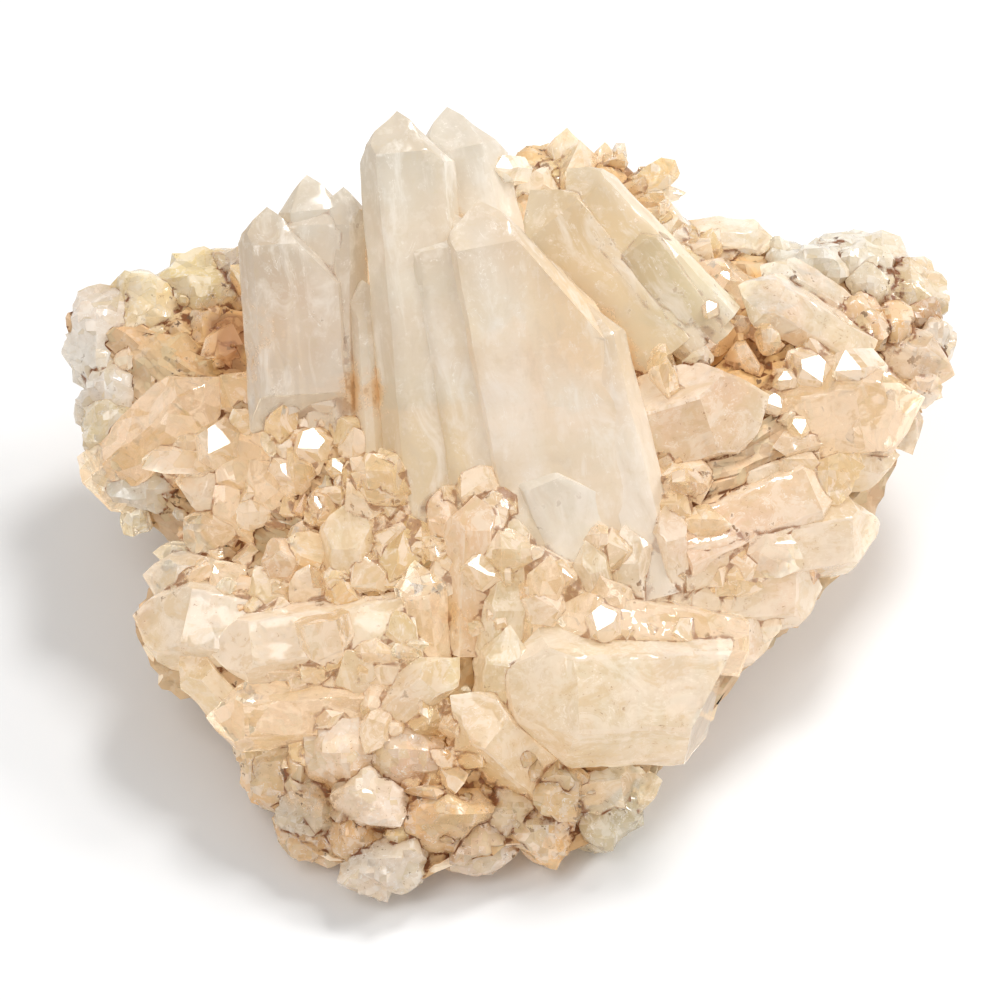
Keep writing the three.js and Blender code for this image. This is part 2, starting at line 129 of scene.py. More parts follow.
# %% Smooth noise
def s_curve(value, start=0, end=1):
    """A value's way from start to end, from 0 to 1, with soft ends."""
    share = np.clip((value - start) / (end - start), 0, 1)
    return share * share * (3 - 2 * share)


PRIMES = np.array([374761393, 668265263, 2147483647, 1274126177, 2246822519], np.uint32)


def lattice(cell, seed):
    """A number from 0 to 1 for each whole-number cell, by mixing its three indices with primes."""
    n = cell.astype(np.int64).astype(np.uint32)
    h = n[..., 0] * PRIMES[0] + n[..., 1] * PRIMES[1] + n[..., 2] * PRIMES[2]
    h = h + np.uint32(seed * int(PRIMES[3]) & 0xFFFFFFFF)
    h = (h ^ (h >> np.uint32(13))) * PRIMES[3]
    h = (h ^ (h >> np.uint32(15))) * PRIMES[4]
    return ((h ^ (h >> np.uint32(16))) & np.uint32(0xFFFFFF)).astype(float) / 0xFFFFFF


def ripple(points, size, seed=1):
    """Smooth noise from -1 to 1: each cell's corner numbers, blended by an S-curve along each axis."""
    p = points / size
    base = np.floor(p)
    f = s_curve(p - base)
    total = np.zeros(points.shape[:-1])
    for corner in range(8):
        step = np.array([corner & 1, corner >> 1 & 1, corner >> 2 & 1])
        weight = np.where(step == 1, f, 1 - f).prod(-1)
        total += weight * lattice(base + step, seed)
    return 2 * total - 1


def rough(points, size, octaves=3, seed=1):
    """Ripples of halving size and height, added up."""
    return sum(ripple(points, size / 2**k, seed + k) / 2**k for k in range(octaves))


LINE = np.linspace(0, 40, 400)[:, None] * [1, 0.6, 0.3]
print("smooth noise changes along a line by", np.ptp(rough(LINE, 7)).round(2))

# %% [markdown]
# ## Ledges and fracture
# Quartz grows in low terraces, and where it broke it has no crystal faces but small planes that each
# lean their own way. Ledges round smooth noise to a few levels. Fracture takes the nearest of many
# random middles and reads that one's plane, so its planes meet in straight borders.

# %% Ledges and fracture
def ledges(points, size, steps, seed=1):
    """Terraces from -1 to 1: a ripple rounded to a few levels, with a short slope between levels."""
    level = steps * ripple(points, size, seed)
    base = np.floor(level)
    return (base + s_curve(level - base, 0.4, 0.6)) / steps


def breakage(points, size, seed):
    """Fracture height from -1 to 1: in each cell a plane that leans its own way."""
    p = points / size
    base = np.floor(p)
    first = np.full(points.shape[:-1], 9.0)
    height = np.zeros(points.shape[:-1])
    for i in range(27):
        cell = base + np.array([i % 3 - 1, i // 3 % 3 - 1, i // 9 - 1])
        offset = p - cell - np.stack([lattice(cell, seed + k) for k in (0, 7, 13)], -1)
        away = np.linalg.norm(offset, axis=-1)
        lean = np.stack([2 * lattice(cell, seed + k) - 1 for k in (21, 25, 29)], -1)
        here = (offset * lean).sum(-1) + 0.6 * (2 * lattice(cell, seed + 33) - 1)
        height = np.where(away < first, here, height)
        first = np.minimum(first, away)
    return height


print("fracture changes along it by", np.ptp(breakage(LINE, 5, 1)).round(2))

# %% [markdown]
# ## Bodies that join
# Every body here is a grid that closes on itself: columns go round it, rows go from a bottom pole to
# a top pole, and the two poles are single points. Crystals that grow together have no walls between
# them, so all bodies are joined into one skin by a Boolean modifier. A number on each face tells
# which body it came from, and the modifier keeps it.

# %% Closed grids
def closed_faces(rows, columns):
    """Corner numbers of a closed grid's faces: quads between rows, triangles at the two poles."""
    ring = np.arange(columns)
    after = np.roll(ring, -1)
    quads = []
    for row in range(rows - 1):
        low, high = row * columns, (row + 1) * columns
        quads.append(np.stack([low + ring, low + after, high + after, high + ring], -1))
    bottom, top = rows * columns, rows * columns + 1
    last = (rows - 1) * columns
    ends = np.concatenate([
        np.stack([np.full(columns, bottom), after, ring], -1),
        np.stack([np.full(columns, top), last + ring, last + after], -1),
    ])
    return np.concatenate(quads), ends


def body_object(points, faces, number):
    """One closed grid as an object, with its number on every face."""
    quads, ends = faces
    mesh = bpy.data.meshes.new("body")
    mesh.vertices.add(len(points))
    mesh.vertices.foreach_set("co", points.astype(np.float32).ravel())
    mesh.loops.add(quads.size + ends.size)
    mesh.loops.foreach_set("vertex_index", np.concatenate([quads.ravel(), ends.ravel()]).astype(np.int32))
    totals = np.concatenate([np.full(len(quads), 4), np.full(len(ends), 3)])
    mesh.polygons.add(len(totals))
    mesh.polygons.foreach_set("loop_start", np.concatenate([[0], np.cumsum(totals)[:-1]]).astype(np.int32))
    mesh.polygons.foreach_set("loop_total", totals.astype(np.int32))
    mesh.attributes.new("body", "INT", "FACE").data.foreach_set("value", np.full(len(totals), number, np.int32))
    mesh.update(calc_edges=True)
    return bpy.data.objects.new("body", mesh)


print("a grid of 3 rows and 6 columns has", [len(part) for part in closed_faces(3, 6)], "quads and triangles")

# %% Joining them
def join_bodies(blocks):
    """One mesh around all bodies of the blocks: the union of closed grids that overlap."""
    holder = bpy.data.collections.new("bodies")
    bpy.context.scene.collection.children.link(holder)
    for block in blocks:
        faces = closed_faces(block["rows"], block["columns"])
        for points, number in zip(block["points"], block["numbers"]):
            holder.objects.link(body_object(points, faces, number))
    bodies = list(holder.objects)
    first = bodies[0]
    holder.objects.unlink(first)
    bpy.context.scene.collection.objects.link(first)
    join = first.modifiers.new("join", "BOOLEAN")
    join.operation, join.operand_type, join.solver = "UNION", "COLLECTION", "MANIFOLD"
    join.collection = holder
    mesh = bpy.data.meshes.new_from_object(first.evaluated_get(bpy.context.evaluated_depsgraph_get()))
    for body in bodies:
        bpy.data.meshes.remove(body.data)
    bpy.data.collections.remove(holder)
    print(len(bodies), "bodies joined:", len(mesh.vertices), "points", len(mesh.polygons), "faces")
    return mesh


def read_mesh(mesh):
    """A mesh's points, the point at each face corner, each face's corner count and body number."""
    points = np.empty(3 * len(mesh.vertices), np.float32)
    mesh.vertices.foreach_get("co", points)
    corners = np.empty(len(mesh.loops), np.int32)
    mesh.loops.foreach_get("vertex_index", corners)
    totals, body = np.empty(len(mesh.polygons), np.int32), np.empty(len(mesh.polygons), np.int32)
    mesh.polygons.foreach_get("loop_total", totals)
    mesh.attributes["body"].data.foreach_get("value", body)
    return points.reshape(-1, 3).astype(float), corners, totals, body

# %% [markdown]
# ## Tints
# Iron colours quartz from pale cream through honey to rust, and the blades are nearly colourless.
# Every crystal and lump is given one of these by name.

# %% The tints
TINTS = {
    "grey": (0.82, 0.73, 0.62),
    "milky": (0.79, 0.66, 0.50),
    "cream": (0.89, 0.86, 0.77),
    "green": (0.66, 0.62, 0.46),
    "honey": (0.85, 0.73, 0.44),
    "rosy": (0.90, 0.63, 0.48),
    "clear": (0.91, 0.90, 0.86),
    "olive": (0.72, 0.69, 0.53),
    "pale": (0.91, 0.89, 0.83),
    "chalk": (0.93, 0.89, 0.84),
    "amber": (0.89, 0.72, 0.36),
    "rust": (0.48, 0.25, 0.12),
    "peach": (0.94, 0.57, 0.25),
    "clay": (0.78, 0.48, 0.23),
}
print(len(TINTS), "tints")

# %% [markdown]
# ## Crystals
# A quartz crystal is a six-sided prism with a cap of six faces, three large and three small. Cut
# across its axis it is a six-sided polygon. No two sides of a real crystal lie equally far out, so
# each has a distance of its own.

# %% A crystal's planes
CAP_ANGLE = math.radians(51.8)
UNEVEN = 0.07
SMALL_CAP_FACE = 0.09
SIDE_DISTANCE = math.sqrt(3) / 4
SIDES = np.arange(6)
OWN_SHIFT, OWN_SHIFTS = 31.7, 97


def crystal_shapes(stones):
    """Each crystal's directions and the distances of its sides, from its tip, foot and sizes."""
    tip = np.array([s["tip"] for s in stones], float)
    foot = np.array([s["foot"] for s in stones], float)
    wide, deep, turn, aside, seed = (
        np.array([s.get(key, 0) for s in stones], float) for key in ("wide", "deep", "turn", "aside", "seed")
    )
    across = unit(np.cross(unit(tip - foot), [0, 0, 1]))
    head = tip - across * aside[:, None]
    along = unit(head - foot)
    across = unit(np.cross(along, [0, 0, 1]))
    outwards = np.cross(across, along)
    facing = np.radians(60 * SIDES[None] + turn[:, None])
    half = np.where(SIDES % 3 == 0, deep[:, None] / 2, wide[:, None] * SIDE_DISTANCE)
    reach = half * (1 + UNEVEN * (2 * chance(seed[:, None] * 12 + SIDES) - 1))
    lesser = SMALL_CAP_FACE * wide[:, None] * (0.4 + chance(seed[:, None] * 12 + 6 + SIDES))
    normal = np.sin(facing)[..., None] * across[:, None] + np.cos(facing)[..., None] * outwards[:, None]
    return {
        "tip": tip, "along": along, "across": across, "outwards": outwards, "normal": normal, "facing": facing,
        "length": np.linalg.norm(head - foot, axis=-1),
        "reach": reach - aside[:, None] * np.sin(facing),
        "lesser": np.where(SIDES % 2 == 1, lesser, 0), "wide": wide, "shift": seed % OWN_SHIFTS * OWN_SHIFT,
    }


def crystal_planes(shape):
    """Each crystal's thirteen planes as outward normal and distance: sides, cap faces and foot."""
    cap = math.sin(CAP_ANGLE) * shape["normal"] + math.cos(CAP_ANGLE) * shape["along"][:, None]
    normals = np.concatenate([shape["normal"], cap, -shape["along"][:, None]], 1)
    stand_off = np.concatenate([shape["reach"], shape["lesser"], shape["length"][:, None]], 1)
    return normals, np.einsum("sfx,sx->sf", normals, shape["tip"]) + stand_off


SAMPLE = {"tip": (0, 0, 20), "foot": (0, 1, 0), "wide": 8, "deep": 7, "tint": "clear", "number": 1}
print("planes of a crystal", crystal_planes(crystal_shapes([SAMPLE]))[0].shape)

# %% [markdown]
# ## A crystal's surface
# Each side lies at the prism's distance or, higher up, at the cap's, whichever is less. So the
# surface is a function of the height and of the way round the polygon. Rows run through the shoulders
# where the prism ends, and columns stop a little short of the polygon's corners, so that each edge is
# a narrow bevel that catches the light.

# %% A crystal's surface
BEVEL = 0.04
SIXTH = math.sin(math.radians(60))
LEAST_SIDE = 0.998


def crystal_block(stones, side_columns, prism_rows, shoulder_rows, cap_rows, wander=0, ledge=0, bevel=BEVEL):
    """Crystals as one block of closed grids. At height h under the tip, side i lies at
    min(reach_i, (lesser_i - h cos a) / sin a) from the axis, with a the cap angle."""
    shape = crystal_shapes(stones)
    count = len(stones)
    tip, along, reach, lesser = (shape[key] for key in ("tip", "along", "reach", "lesser"))
    sine, cosine = math.sin(CAP_ANGLE), math.cos(CAP_ANGLE)
    shoulders = np.sort((lesser - sine * reach) / cosine, 1)
    if not shoulder_rows:
        shoulders = shoulders[:, [0, 5]]
    knots = np.concatenate([-shape["length"][:, None], shoulders, np.zeros((count, 1))], 1)
    spans = [prism_rows] + [max(shoulder_rows, 1)] * (shoulders.shape[1] - 1) + [cap_rows]
    height = np.concatenate([
        knots[:, k, None] + (knots[:, k + 1] - knots[:, k])[:, None] * np.arange(rows) / rows
        for k, rows in enumerate(spans)
    ], 1)
    side = np.minimum(reach[:, None], (lesser[:, None] - cosine * height[..., None]) / sine)
    side = np.minimum(side, LEAST_SIDE * (np.roll(side, 1, -1) + np.roll(side, -1, -1)))
    after = (np.roll(side, -1, -1) / side - 0.5) / SIXTH
    before = (0.5 - np.roll(side, 1, -1) / side) / SIXTH
    share = np.linspace(bevel, 1 - bevel, side_columns) if side_columns > 1 else np.zeros(1)
    lean = before[..., None] * (1 - share) + after[..., None] * share
    normal = shape["normal"][:, None, :, None]
    beside = np.cross(along[:, None], shape["normal"])[:, None, :, None]
    out = side[..., None, None] * (normal + lean[..., None] * beside)
    rows, columns = height.shape[1], 6 * side_columns
    out = out.reshape(count, rows, columns, 3)
    points = tip[:, None, None] + along[:, None, None] * height[..., None, None] + out
    poles = np.stack([tip - along * shape["length"][:, None], tip], 1)

    axes = np.stack([shape["across"], shape["outwards"], along], 1)
    own = np.einsum("srcx,sax->srca", points - tip[:, None, None], axes)
    own += shape["shift"][:, None, None, None]
    if wander:
        away = np.linalg.norm(out, axis=-1)
        fade = np.clip(away / (0.2 * shape["wide"][:, None, None]), 0, 1)
        amount = wander * rough(own, 7.0, 3, 5) + ledge * (ledges(own / [4.5, 4.5, 15], 1, 3, 9) - 0.3)
        points = points + unit(out) * (amount * fade)[..., None]
    for i, stone in enumerate(stones):
        for at, facing in stone.get("cuts", ()):
            facing = unit(np.array(facing, float))
            for group in (points[i].reshape(-1, 3), poles[i]):
                beyond = np.maximum((group - seen(at)[0]) @ facing, 0)
                group -= along[i] * (beyond / (facing @ along[i]))[:, None]
    return {
        "points": np.concatenate([points.reshape(count, -1, 3), poles], 1), "rows": rows, "columns": columns,
        "numbers": np.array([s["number"] for s in stones]), "origin": tip, "axes": axes,
        "planes": crystal_planes(shape)[0],
        "shift": shape["shift"], "tint": np.array([TINTS[s["tint"]] for s in stones]),
    }


print("points on a crystal of 1 column a side", crystal_block([SAMPLE], 1, 1, 0, 1)["points"].shape[1])

# %% [markdown]
# ## The named crystals
# Each row gives a crystal's tip, foot, width, depth, turn, shift of the tip and tint, and repeats the
# solid's values. Foot and tip are as seen from the eye.

# %% Crystals by name
ROWS = {
    "blades": [
        ("tall_left_blade", (-20.6, 77.8, 13), (-12.5, -8, 3), 19.8, 13, 5, -0.7, "milky"),
        ("left_rib", (-27.5, 44, 5.5), (-24.5, 2, 0.5), 9, 12, -6, 0, "milky"),
        ("back_blade", (-10.6, 78.6, 1), (9, -4, -6), 17, 13, -6, -2, "grey"),
        ("broad_front_blade", (-4.4, 60, 12.5), (17, -22, 2.5), 33, 14, 2, -6, "milky"),
        ("middle_blade", (-12.5, 59, 10.8), (-1, -14, 3.2), 17, 13, -2, 1, "milky"),
        ("front_rib", (-7, 30, 7.7), (2, -8, 2.2), 14, 12, 2, 0, "milky"),
        ("pale_front_blade", (4, 9.5, 9.5), (22, -24, 3), 20, 11, 3, -4, "pale"),
        ("front_flank", (16, 40, 9.2), (30.5, -19, 3), 15, 13, -1, 0, "grey"),
        ("right_blade_upper", (13.4, 66.2, -4), (42, 33, -9), 17, 10, 5, 2, "green"),
        ("right_blade_lower", (6, 62, -4), (33, 29, -8.5), 20, 11, -4, 0, "green"),
        ("right_blade_step", (24, 55, -3.5), (42, 31, -8), 13, 8, -2, 0, "green"),
        ("left_stack_outer", (-46.6, 58.6, 8), (-39.5, 14, 1), 22, 11, 4, -4.5, "grey"),
        ("left_stack_middle", (-38.6, 65, 4), (-34, 12, -3), 14, 11, 8, 0, "grey"),
        ("left_stack_inner", (-31.3, 62.6, 5), (-31, 14, -1), 10, 11, 0, 0, "grey"),
        ("left_stack_plate", (-37, 61, 5.5), (-35, 14, 0), 18, 9, -4, 0, "grey"),
        ("left_stack_lower", (-49, 41, 5), (-42, 18, 0), 8, 10, 6, 0, "grey"),
    ],
    "points": [
        ("wing_clear", (-54.6, 24.6, -8), (-79, 3, -21), 16, 13, 12, 0, "clear"),
        ("wing_glassy", (-58, 13, -2), (-42, 1, -13), 15, 14, 0, 0, "clear"),
        ("wing_lower", (-65, 4, -8), (-42, -3, -10), 11, 10, 14, 0, "cream"),
        ("under_stack", (-43, 20, 1), (-36, 2, -8), 15, 12, 0, 0, "cream"),
        ("facing_hexagon", (-30.5, 15.5, 8), (-29, 11, -6), 9, 8, 30, 0, "honey"),
        ("stack_neighbour", (-50, 23, -6), (-46, 12, -13), 7, 6, 10, 0, "rosy"),
        ("sparkle_1", (-38, 11, 6), (-36, 5, -5), 8, 7, 25, 0, "clear"),
        ("sparkle_2", (-43, 5, 4), (-40, 0, -6), 7, 6, 10, 0, "clear"),
        ("sparkle_3", (-29, 4, 9), (-27, -1, -3), 9, 8, 18, 0, "honey"),
        ("sparkle_4", (-49, 14, 0), (-46, 9, -9), 6, 5, 0, 0, "clear"),
        ("sparkle_5", (-36, 1, 7), (-33, -5, -3), 8, 7, -15, 0, "clear"),
        ("corner_point", (-73.5, -23, -3), (-48, -28, -2), 22, 18, 10, 0, "cream"),
        ("corner_upper", (-71.5, -15, -6), (-52, -18, -7), 13, 11, 0, 0, "cream"),
        ("corner_notch", (-69.5, -10.5, -9), (-55, -12, -11), 7, 7, 16, 0, "honey"),
        ("corner_inner", (-57, -12, 0), (-50, -24, -5), 10, 9, 22, 0, "clear"),
        ("facing_wedge", (-44, -10, 11), (-44, -15, -4), 9, 9, 12, 0, "rosy"),
        ("honey_block", (-30, 0, 9), (-29, -23, 2), 14, 12, -8, 0, "honey"),
        ("honey_side", (-49, -13, 5), (-42, -25, 0), 10, 9, 0, 0, "honey"),
        ("stained_peak", (-20, -2, 11), (-20, -17, 0), 10, 9, 14, 0, "rosy"),
        ("long_lying", (-57.6, -31, 6), (-16, -25, 9), 16.5, 14, 10, 0, "cream"),
        ("glassy_lying", (-58.8, -43.5, 8), (-16, -41, 10), 14, 13, -6, 0, "clear"),
        ("lower_left_short", (-64, -31, 4), (-50, -46, 1), 9, 9, 20, 0, "honey"),
        ("stub_between", (-31, -30, 17), (-25, -38, 6), 12, 10, 0, 0, "honey"),
        ("honey_slanting", (-8, -31.4, 19), (-29, -48, 8), 11, 10, 12, 0, "honey"),
        ("greenish_glassy", (-10, -39, 18), (9, -56, 6), 16, 15, 8, 0, "green"),
        ("clear_upright", (-17, -12, 15), (-13.6, -35, 7), 11, 10, -10, 0, "clear"),
        ("rosy_upright", (-5, 1, 15), (-6.4, -30, 7), 10.5, 10, 10, 0, "rosy"),
        ("olive_upright", (2, -3, 12), (4, -25, 5), 9, 9, 0, 0, "olive"),
        ("olive_lower", (1, -14, 13), (-1, -40, 5), 12, 10, 18, 0, "olive"),
        ("small_upright", (10, -11, 17), (8, -29, 7), 9, 9, 5, 0, "clear"),
        ("olive_wedge", (2, -25, 17), (0, -48, 7), 12, 11, -12, 0, "olive"),
        ("great_lying", (-4, -37.5, 17), (44, -38, 4), 29, 25, 4, 2, "cream"),
        ("foot_point_1", (17, -8, 14), (22, -27, 4), 9, 9, 10, 0, "olive"),
        ("foot_point_2", (25, -5, 12), (28, -26, 2), 11, 10, -8, 0, "pale"),
        ("foot_point_3", (33, -1, 10), (36, -24, 0), 10, 9, 14, 0, "pale"),
        ("foot_point_4", (20, -15, 15), (25, -30, 5), 10, 9, 0, 0, "clear"),
        ("left_foot_1", (-22, 4, 9.5), (-20, -12, 0), 8, 8, 12, 0, "honey"),
        ("left_foot_2", (-12, 2, 11), (-12, -14, 1), 9, 8, -10, 0, "rosy"),
        ("stub_right", (-21, -22, 17), (-16, -37, 7), 9, 9, 15, 0, "honey"),
        ("left_clear_1", (-50, 8, 0), (-40, -6, -9), 12, 10, 8, 0, "clear"),
        ("left_clear_2", (-57, 3, -4), (-46, -8, -10), 10, 9, -12, 0, "clear"),
        ("slab_right_1", (38, 47, -19), (53, 36, -28), 12, 10, 6, 0, "clear"),
        ("slab_right_2", (47, 36, -11), (36, 26, -19), 10, 9, 20, 0, "honey"),
        ("rim_point_1", (66, 48.5, -31), (60, 36, -36), 9, 8, 8, 0, "pale"),
        ("rim_point_2", (44, 54, -33), (46, 42, -38), 8, 8, -10, 0, "cream"),
        ("great_lying_crest", (10, -23, 13), (48, -29, 4), 13, 12, 24, 0, "clear"),
        ("beneath_great", (32.5, -56, 2), (6, -61, 4), 16, 15, 10, 0, "green"),
        ("right_low_outer", (64.5, -17.5, -13), (26, -18, 2), 18, 15, 8, 0, "cream"),
        ("right_low_inner", (55, -27, -8), (28, -27, 0), 15, 12, 0, 0, "cream"),
        ("right_long", (76, -4.6, -15), (34, -12, 2), 19, 16, 16, 0, "cream"),
        ("right_ridge", (67, 3, -7), (35, -10, 4), 16, 11, -8, 0, "rosy"),
        ("right_filler", (61, 8, -9), (37, 0, -3), 11, 10, 12, 0, "cream"),
        ("milky_round", (54, 21, 0), (30, 14, -5), 23, 19, 12, 0, "cream"),
        ("below_milky", (40, -1, 5), (34, 12, -5), 12, 10, -14, 0, "honey"),
        ("right_glassy", (85, 20.5, -9), (56, 16, -15), 25, 20, 18, 0, "clear"),
        ("right_glassy_low", (80, 9, -13), (60, 6, -15), 13, 12, -10, 0, "cream"),
        ("rim_cream", (91, 25, -24), (76, 30, -28), 14, 12, 10, 0, "cream"),
        ("rim_flank", (82.5, 9, -20), (75, 24, -26), 12, 10, 0, 0, "cream"),
        ("smoky_prism", (47.6, 43, -10), (72, 29, -19), 13, 12, 14, 0, "olive"),
        ("smoky_behind", (52, 47, -17), (68, 37, -25), 10, 9, -8, 0, "cream"),
        ("rim_lilac", (55, 52, -34), (33, 53, -36), 9, 9, 8, 0, "grey"),
        ("back_grey", (13.4, 74.5, -38), (12, 60, -44), 9.5, 9, 0, 0, "grey"),
        ("back_grey_low", (21, 71.6, -40), (20, 58, -44), 7, 7, 10, 0, "grey"),
        ("white_block", (28, 58, -26), (38, 49, -33), 10, 9, 20, 0, "cream"),
        ("pink_between", (43, 31, -3), (35, 32, -13), 9, 8, 12, 0, "rosy"),
        ("amber_pair_1", (57, 25, -3), (57, 20, -15), 7, 7, 8, 0, "honey"),
        ("amber_pair_2", (62, 27, -5), (63, 23, -16), 7, 6, 22, 0, "clear"),
        ("amber_low", (57, 16, -2), (59, 15, -14), 7, 7, 15, 0, "honey"),
        ("rosy_splinter", (54.5, 10.6, -1), (67, 12.5, -9), 6, 5, 0, 0, "rosy"),
    ],
}
CUTS = {
    "broad_front_blade": [((18, 38.5, 10), (0.73, 0.58, 0.36))],
    "left_stack_outer": [((-38, 20, 6), (0.1, -0.75, 0.65))],
    "left_stack_plate": [((-35, 18, 4), (-0.1, -0.8, 0.6))],
    "great_lying": [((1.5, -42, 15), (-0.93, -0.22, 0.3)), ((43, -40, 8), (0.88, -0.42, 0.2))],
}


def named_stones():
    """The rows as crystals with their places, each with the number that the solid gives it."""
    stones = {}
    number = 0
    for group, rows in ROWS.items():
        stones[group] = []
        for name, tip, foot, wide, deep, turn, aside, tint in rows:
            number += 1
            stones[group].append({
                "tip": seen(tip)[0], "foot": seen(foot)[0], "wide": wide, "deep": deep, "turn": turn,
                "aside": aside, "tint": tint, "seed": number, "number": number, "cuts": CUTS.get(name, ()),
            })
    return stones


STONES = named_stones()
print({group: len(rows) for group, rows in STONES.items()})

# %% [markdown]
# ## Lumps of broken quartz
# A broken lump has flat faces all round, worn to blunt edges. Seen from its middle, the distance to
# the surface in any direction is a soft minimum of the distances to its faces: a high power mean, so
# the edges come out rounded.

# %% Lumps by name
LUMP_NUMBER = 500
LUMP_ROWS = [
    ("wing_end", (-78.8, 31.2, -33), (9, 12.3, 10.1), "chalk"),
    ("wing_yellow", (-69, 36.2, -34), (13.4, 9, 10.1), "amber"),
    ("wing_orange", (-58.1, 40.2, -34), (13.4, 9, 11.2), "amber"),
    ("wing_shoulder", (-51.2, 42.2, -32), (7.8, 9, 10.1), "rust"),
    ("wing_flake", (-65, 30.2, -28), (10.1, 5.6, 6.7), "amber"),
    ("wing_brown", (-55.2, 31.2, -27), (10.1, 6.7, 9), "rust"),
    ("wing_side", (-75.8, 20, -27), (9, 9, 9), "chalk"),
    ("wing_knob", (-76.8, 13, -23), (6.7, 7.8, 7.8), "honey"),
    ("wing_under", (-70.9, 4, -20), (10.1, 6.7, 9), "cream"),
    ("front_peach", (-42, -54.6, 6), (8.4, 7.8, 7.8), "peach"),
    ("front_lilac", (-37.4, -60.6, 9), (6.7, 7.8, 7.8), "cream"),
    ("front_double_left", (-30.5, -50, 11), (9, 8.4, 9), "rosy"),
    ("front_double_right", (-19.3, -51.1, 12), (9, 6.2, 7.8), "rosy"),
    ("front_white", (-26.6, -59.6, 14), (9, 6.2, 7.8), "chalk"),
    ("front_middle", (-11.8, -62.1, 10), (11.2, 9, 9), "peach"),
    ("front_foot", (-23.2, -72.6, 12), (9.5, 6.7, 7.8), "chalk"),
    ("front_small", (-28.6, -66.6, 12), (6.2, 5.6, 6.7), "peach"),
    ("front_amber", (-19.7, -66.6, 12), (5.6, 4.5, 5.6), "amber"),
    ("front_orange", (10.8, -58.6, 9), (6.2, 8.4, 7.8), "peach"),
    ("front_rosy", (8.9, -66.1, 7), (7.8, 6.7, 7.8), "peach"),
    ("front_grey", (2, -61.1, 9), (5.6, 5.6, 6.7), "grey"),
    ("front_brown", (-7.9, -54.1, 9), (6.2, 5, 6.7), "rust"),
    ("front_left_foot", (-36.8, -66.2, 7), (8.4, 6.7, 6.7), "peach"),
    ("left_flank", (-47.3, -52.6, 1), (5.6, 9, 6.7), "peach"),
    ("front_right_foot", (-4.9, -68.6, 8), (9, 6.2, 6.7), "rosy"),
    ("right_foot", (19.7, -62.6, 3), (10.1, 7.8, 7.8), "green"),
    ("right_orange_ball", (71.9, 35.2, -23), (5.6, 6.7, 6.7), "peach"),
    ("right_pink_ball", (78.3, 34.2, -26), (5.6, 5.6, 6.7), "peach"),
    ("right_grey_ball", (74.9, 41.7, -30), (6.7, 5.6, 6.7), "cream"),
    ("right_back_dome", (71.9, 46.2, -36), (10.1, 7.8, 10.1), "pale"),
    ("right_back_green", (80.8, 41.2, -35), (7.8, 7.8, 9), "green"),
    ("right_rim_brown", (82.7, 36.2, -31), (5.6, 4.5, 5.6), "rust"),
    ("right_rim_white", (86.7, 32.2, -30), (3.9, 5.6, 5.6), "pale"),
    ("back_gold", (5.9, 64.2, -43), (10.1, 6.7, 7.8), "amber"),
    ("back_orange", (19.7, 60.2, -40), (9, 6.7, 7.8), "peach"),
    ("back_lumps", (27.6, 59.7, -41), (6.7, 6.2, 6.7), "cream"),
    ("back_pale", (32.5, 51.2, -34), (7.8, 5.6, 6.7), "pale"),
    ("behind_right_blade", (35.5, 44.2, -27), (7.8, 9, 7.8), "honey"),
    ("beside_right_blade", (40.4, 37.2, -22), (7.8, 6.7, 7.8), "honey"),
    ("back_beige", (61.1, 45.7, -33), (11.2, 6.7, 9), "cream"),
]
print(len(LUMP_ROWS), "lumps")

# %% A lump's planes and surface
LUMP_FACES = 13
LUMP_LEAN = 0.25
LUMP_REACH = (0.82, 0.2)
BLOCK_SHARE = 1.2
WEAR = 36
GRAZING = 0.05


def lump_planes(lumps):
    """Each lump's outward normals and distances: an even spiral of directions, each leaning a bit."""
    middle = seen([row[1] for row in lumps])
    half = np.array([row[2] for row in lumps], float)
    seed = np.arange(1, len(lumps) + 1)[:, None]
    i = np.arange(LUMP_FACES)
    up = 1 - 2 * (i + 0.5) / LUMP_FACES
    around = i * math.pi * (3 - math.sqrt(5)) + seed
    flat = np.sqrt(1 - up**2)
    facing = np.stack([flat * np.cos(around), flat * np.sin(around), np.broadcast_to(up, around.shape)], -1)
    facing[..., 0] += LUMP_LEAN * (2 * chance(seed * 31 + i) - 1)
    facing[..., 1] += LUMP_LEAN * (2 * chance(seed * 37 + i) - 1)
    facing = unit(facing)
    share = LUMP_REACH[0] + LUMP_REACH[1] * chance(seed * 41 + i)
    reach = np.linalg.norm(facing * half[:, None], axis=-1) * share
    box = np.broadcast_to(np.concatenate([np.eye(3), -np.eye(3)]), (len(lumps), 6, 3))
    facing = np.concatenate([facing, box], 1)
    reach = np.concatenate([reach, BLOCK_SHARE * np.tile(half, 2)], 1)
    return middle, facing, reach


def rays(rows, columns):
    """Directions over a ball, row by row from the left to the right, then the two poles."""
    tall = np.radians(180 * (np.arange(rows) + 0.5) / rows - 90)[:, None]
    turn = np.radians(360 * np.arange(columns) / columns)[None]
    ball = np.stack([np.sin(tall) + 0 * turn, np.cos(tall) * np.cos(turn), np.cos(tall) * np.sin(turn)], -1)
    return np.concatenate([ball.reshape(-1, 3), [(-1, 0, 0), (1, 0, 0)]])


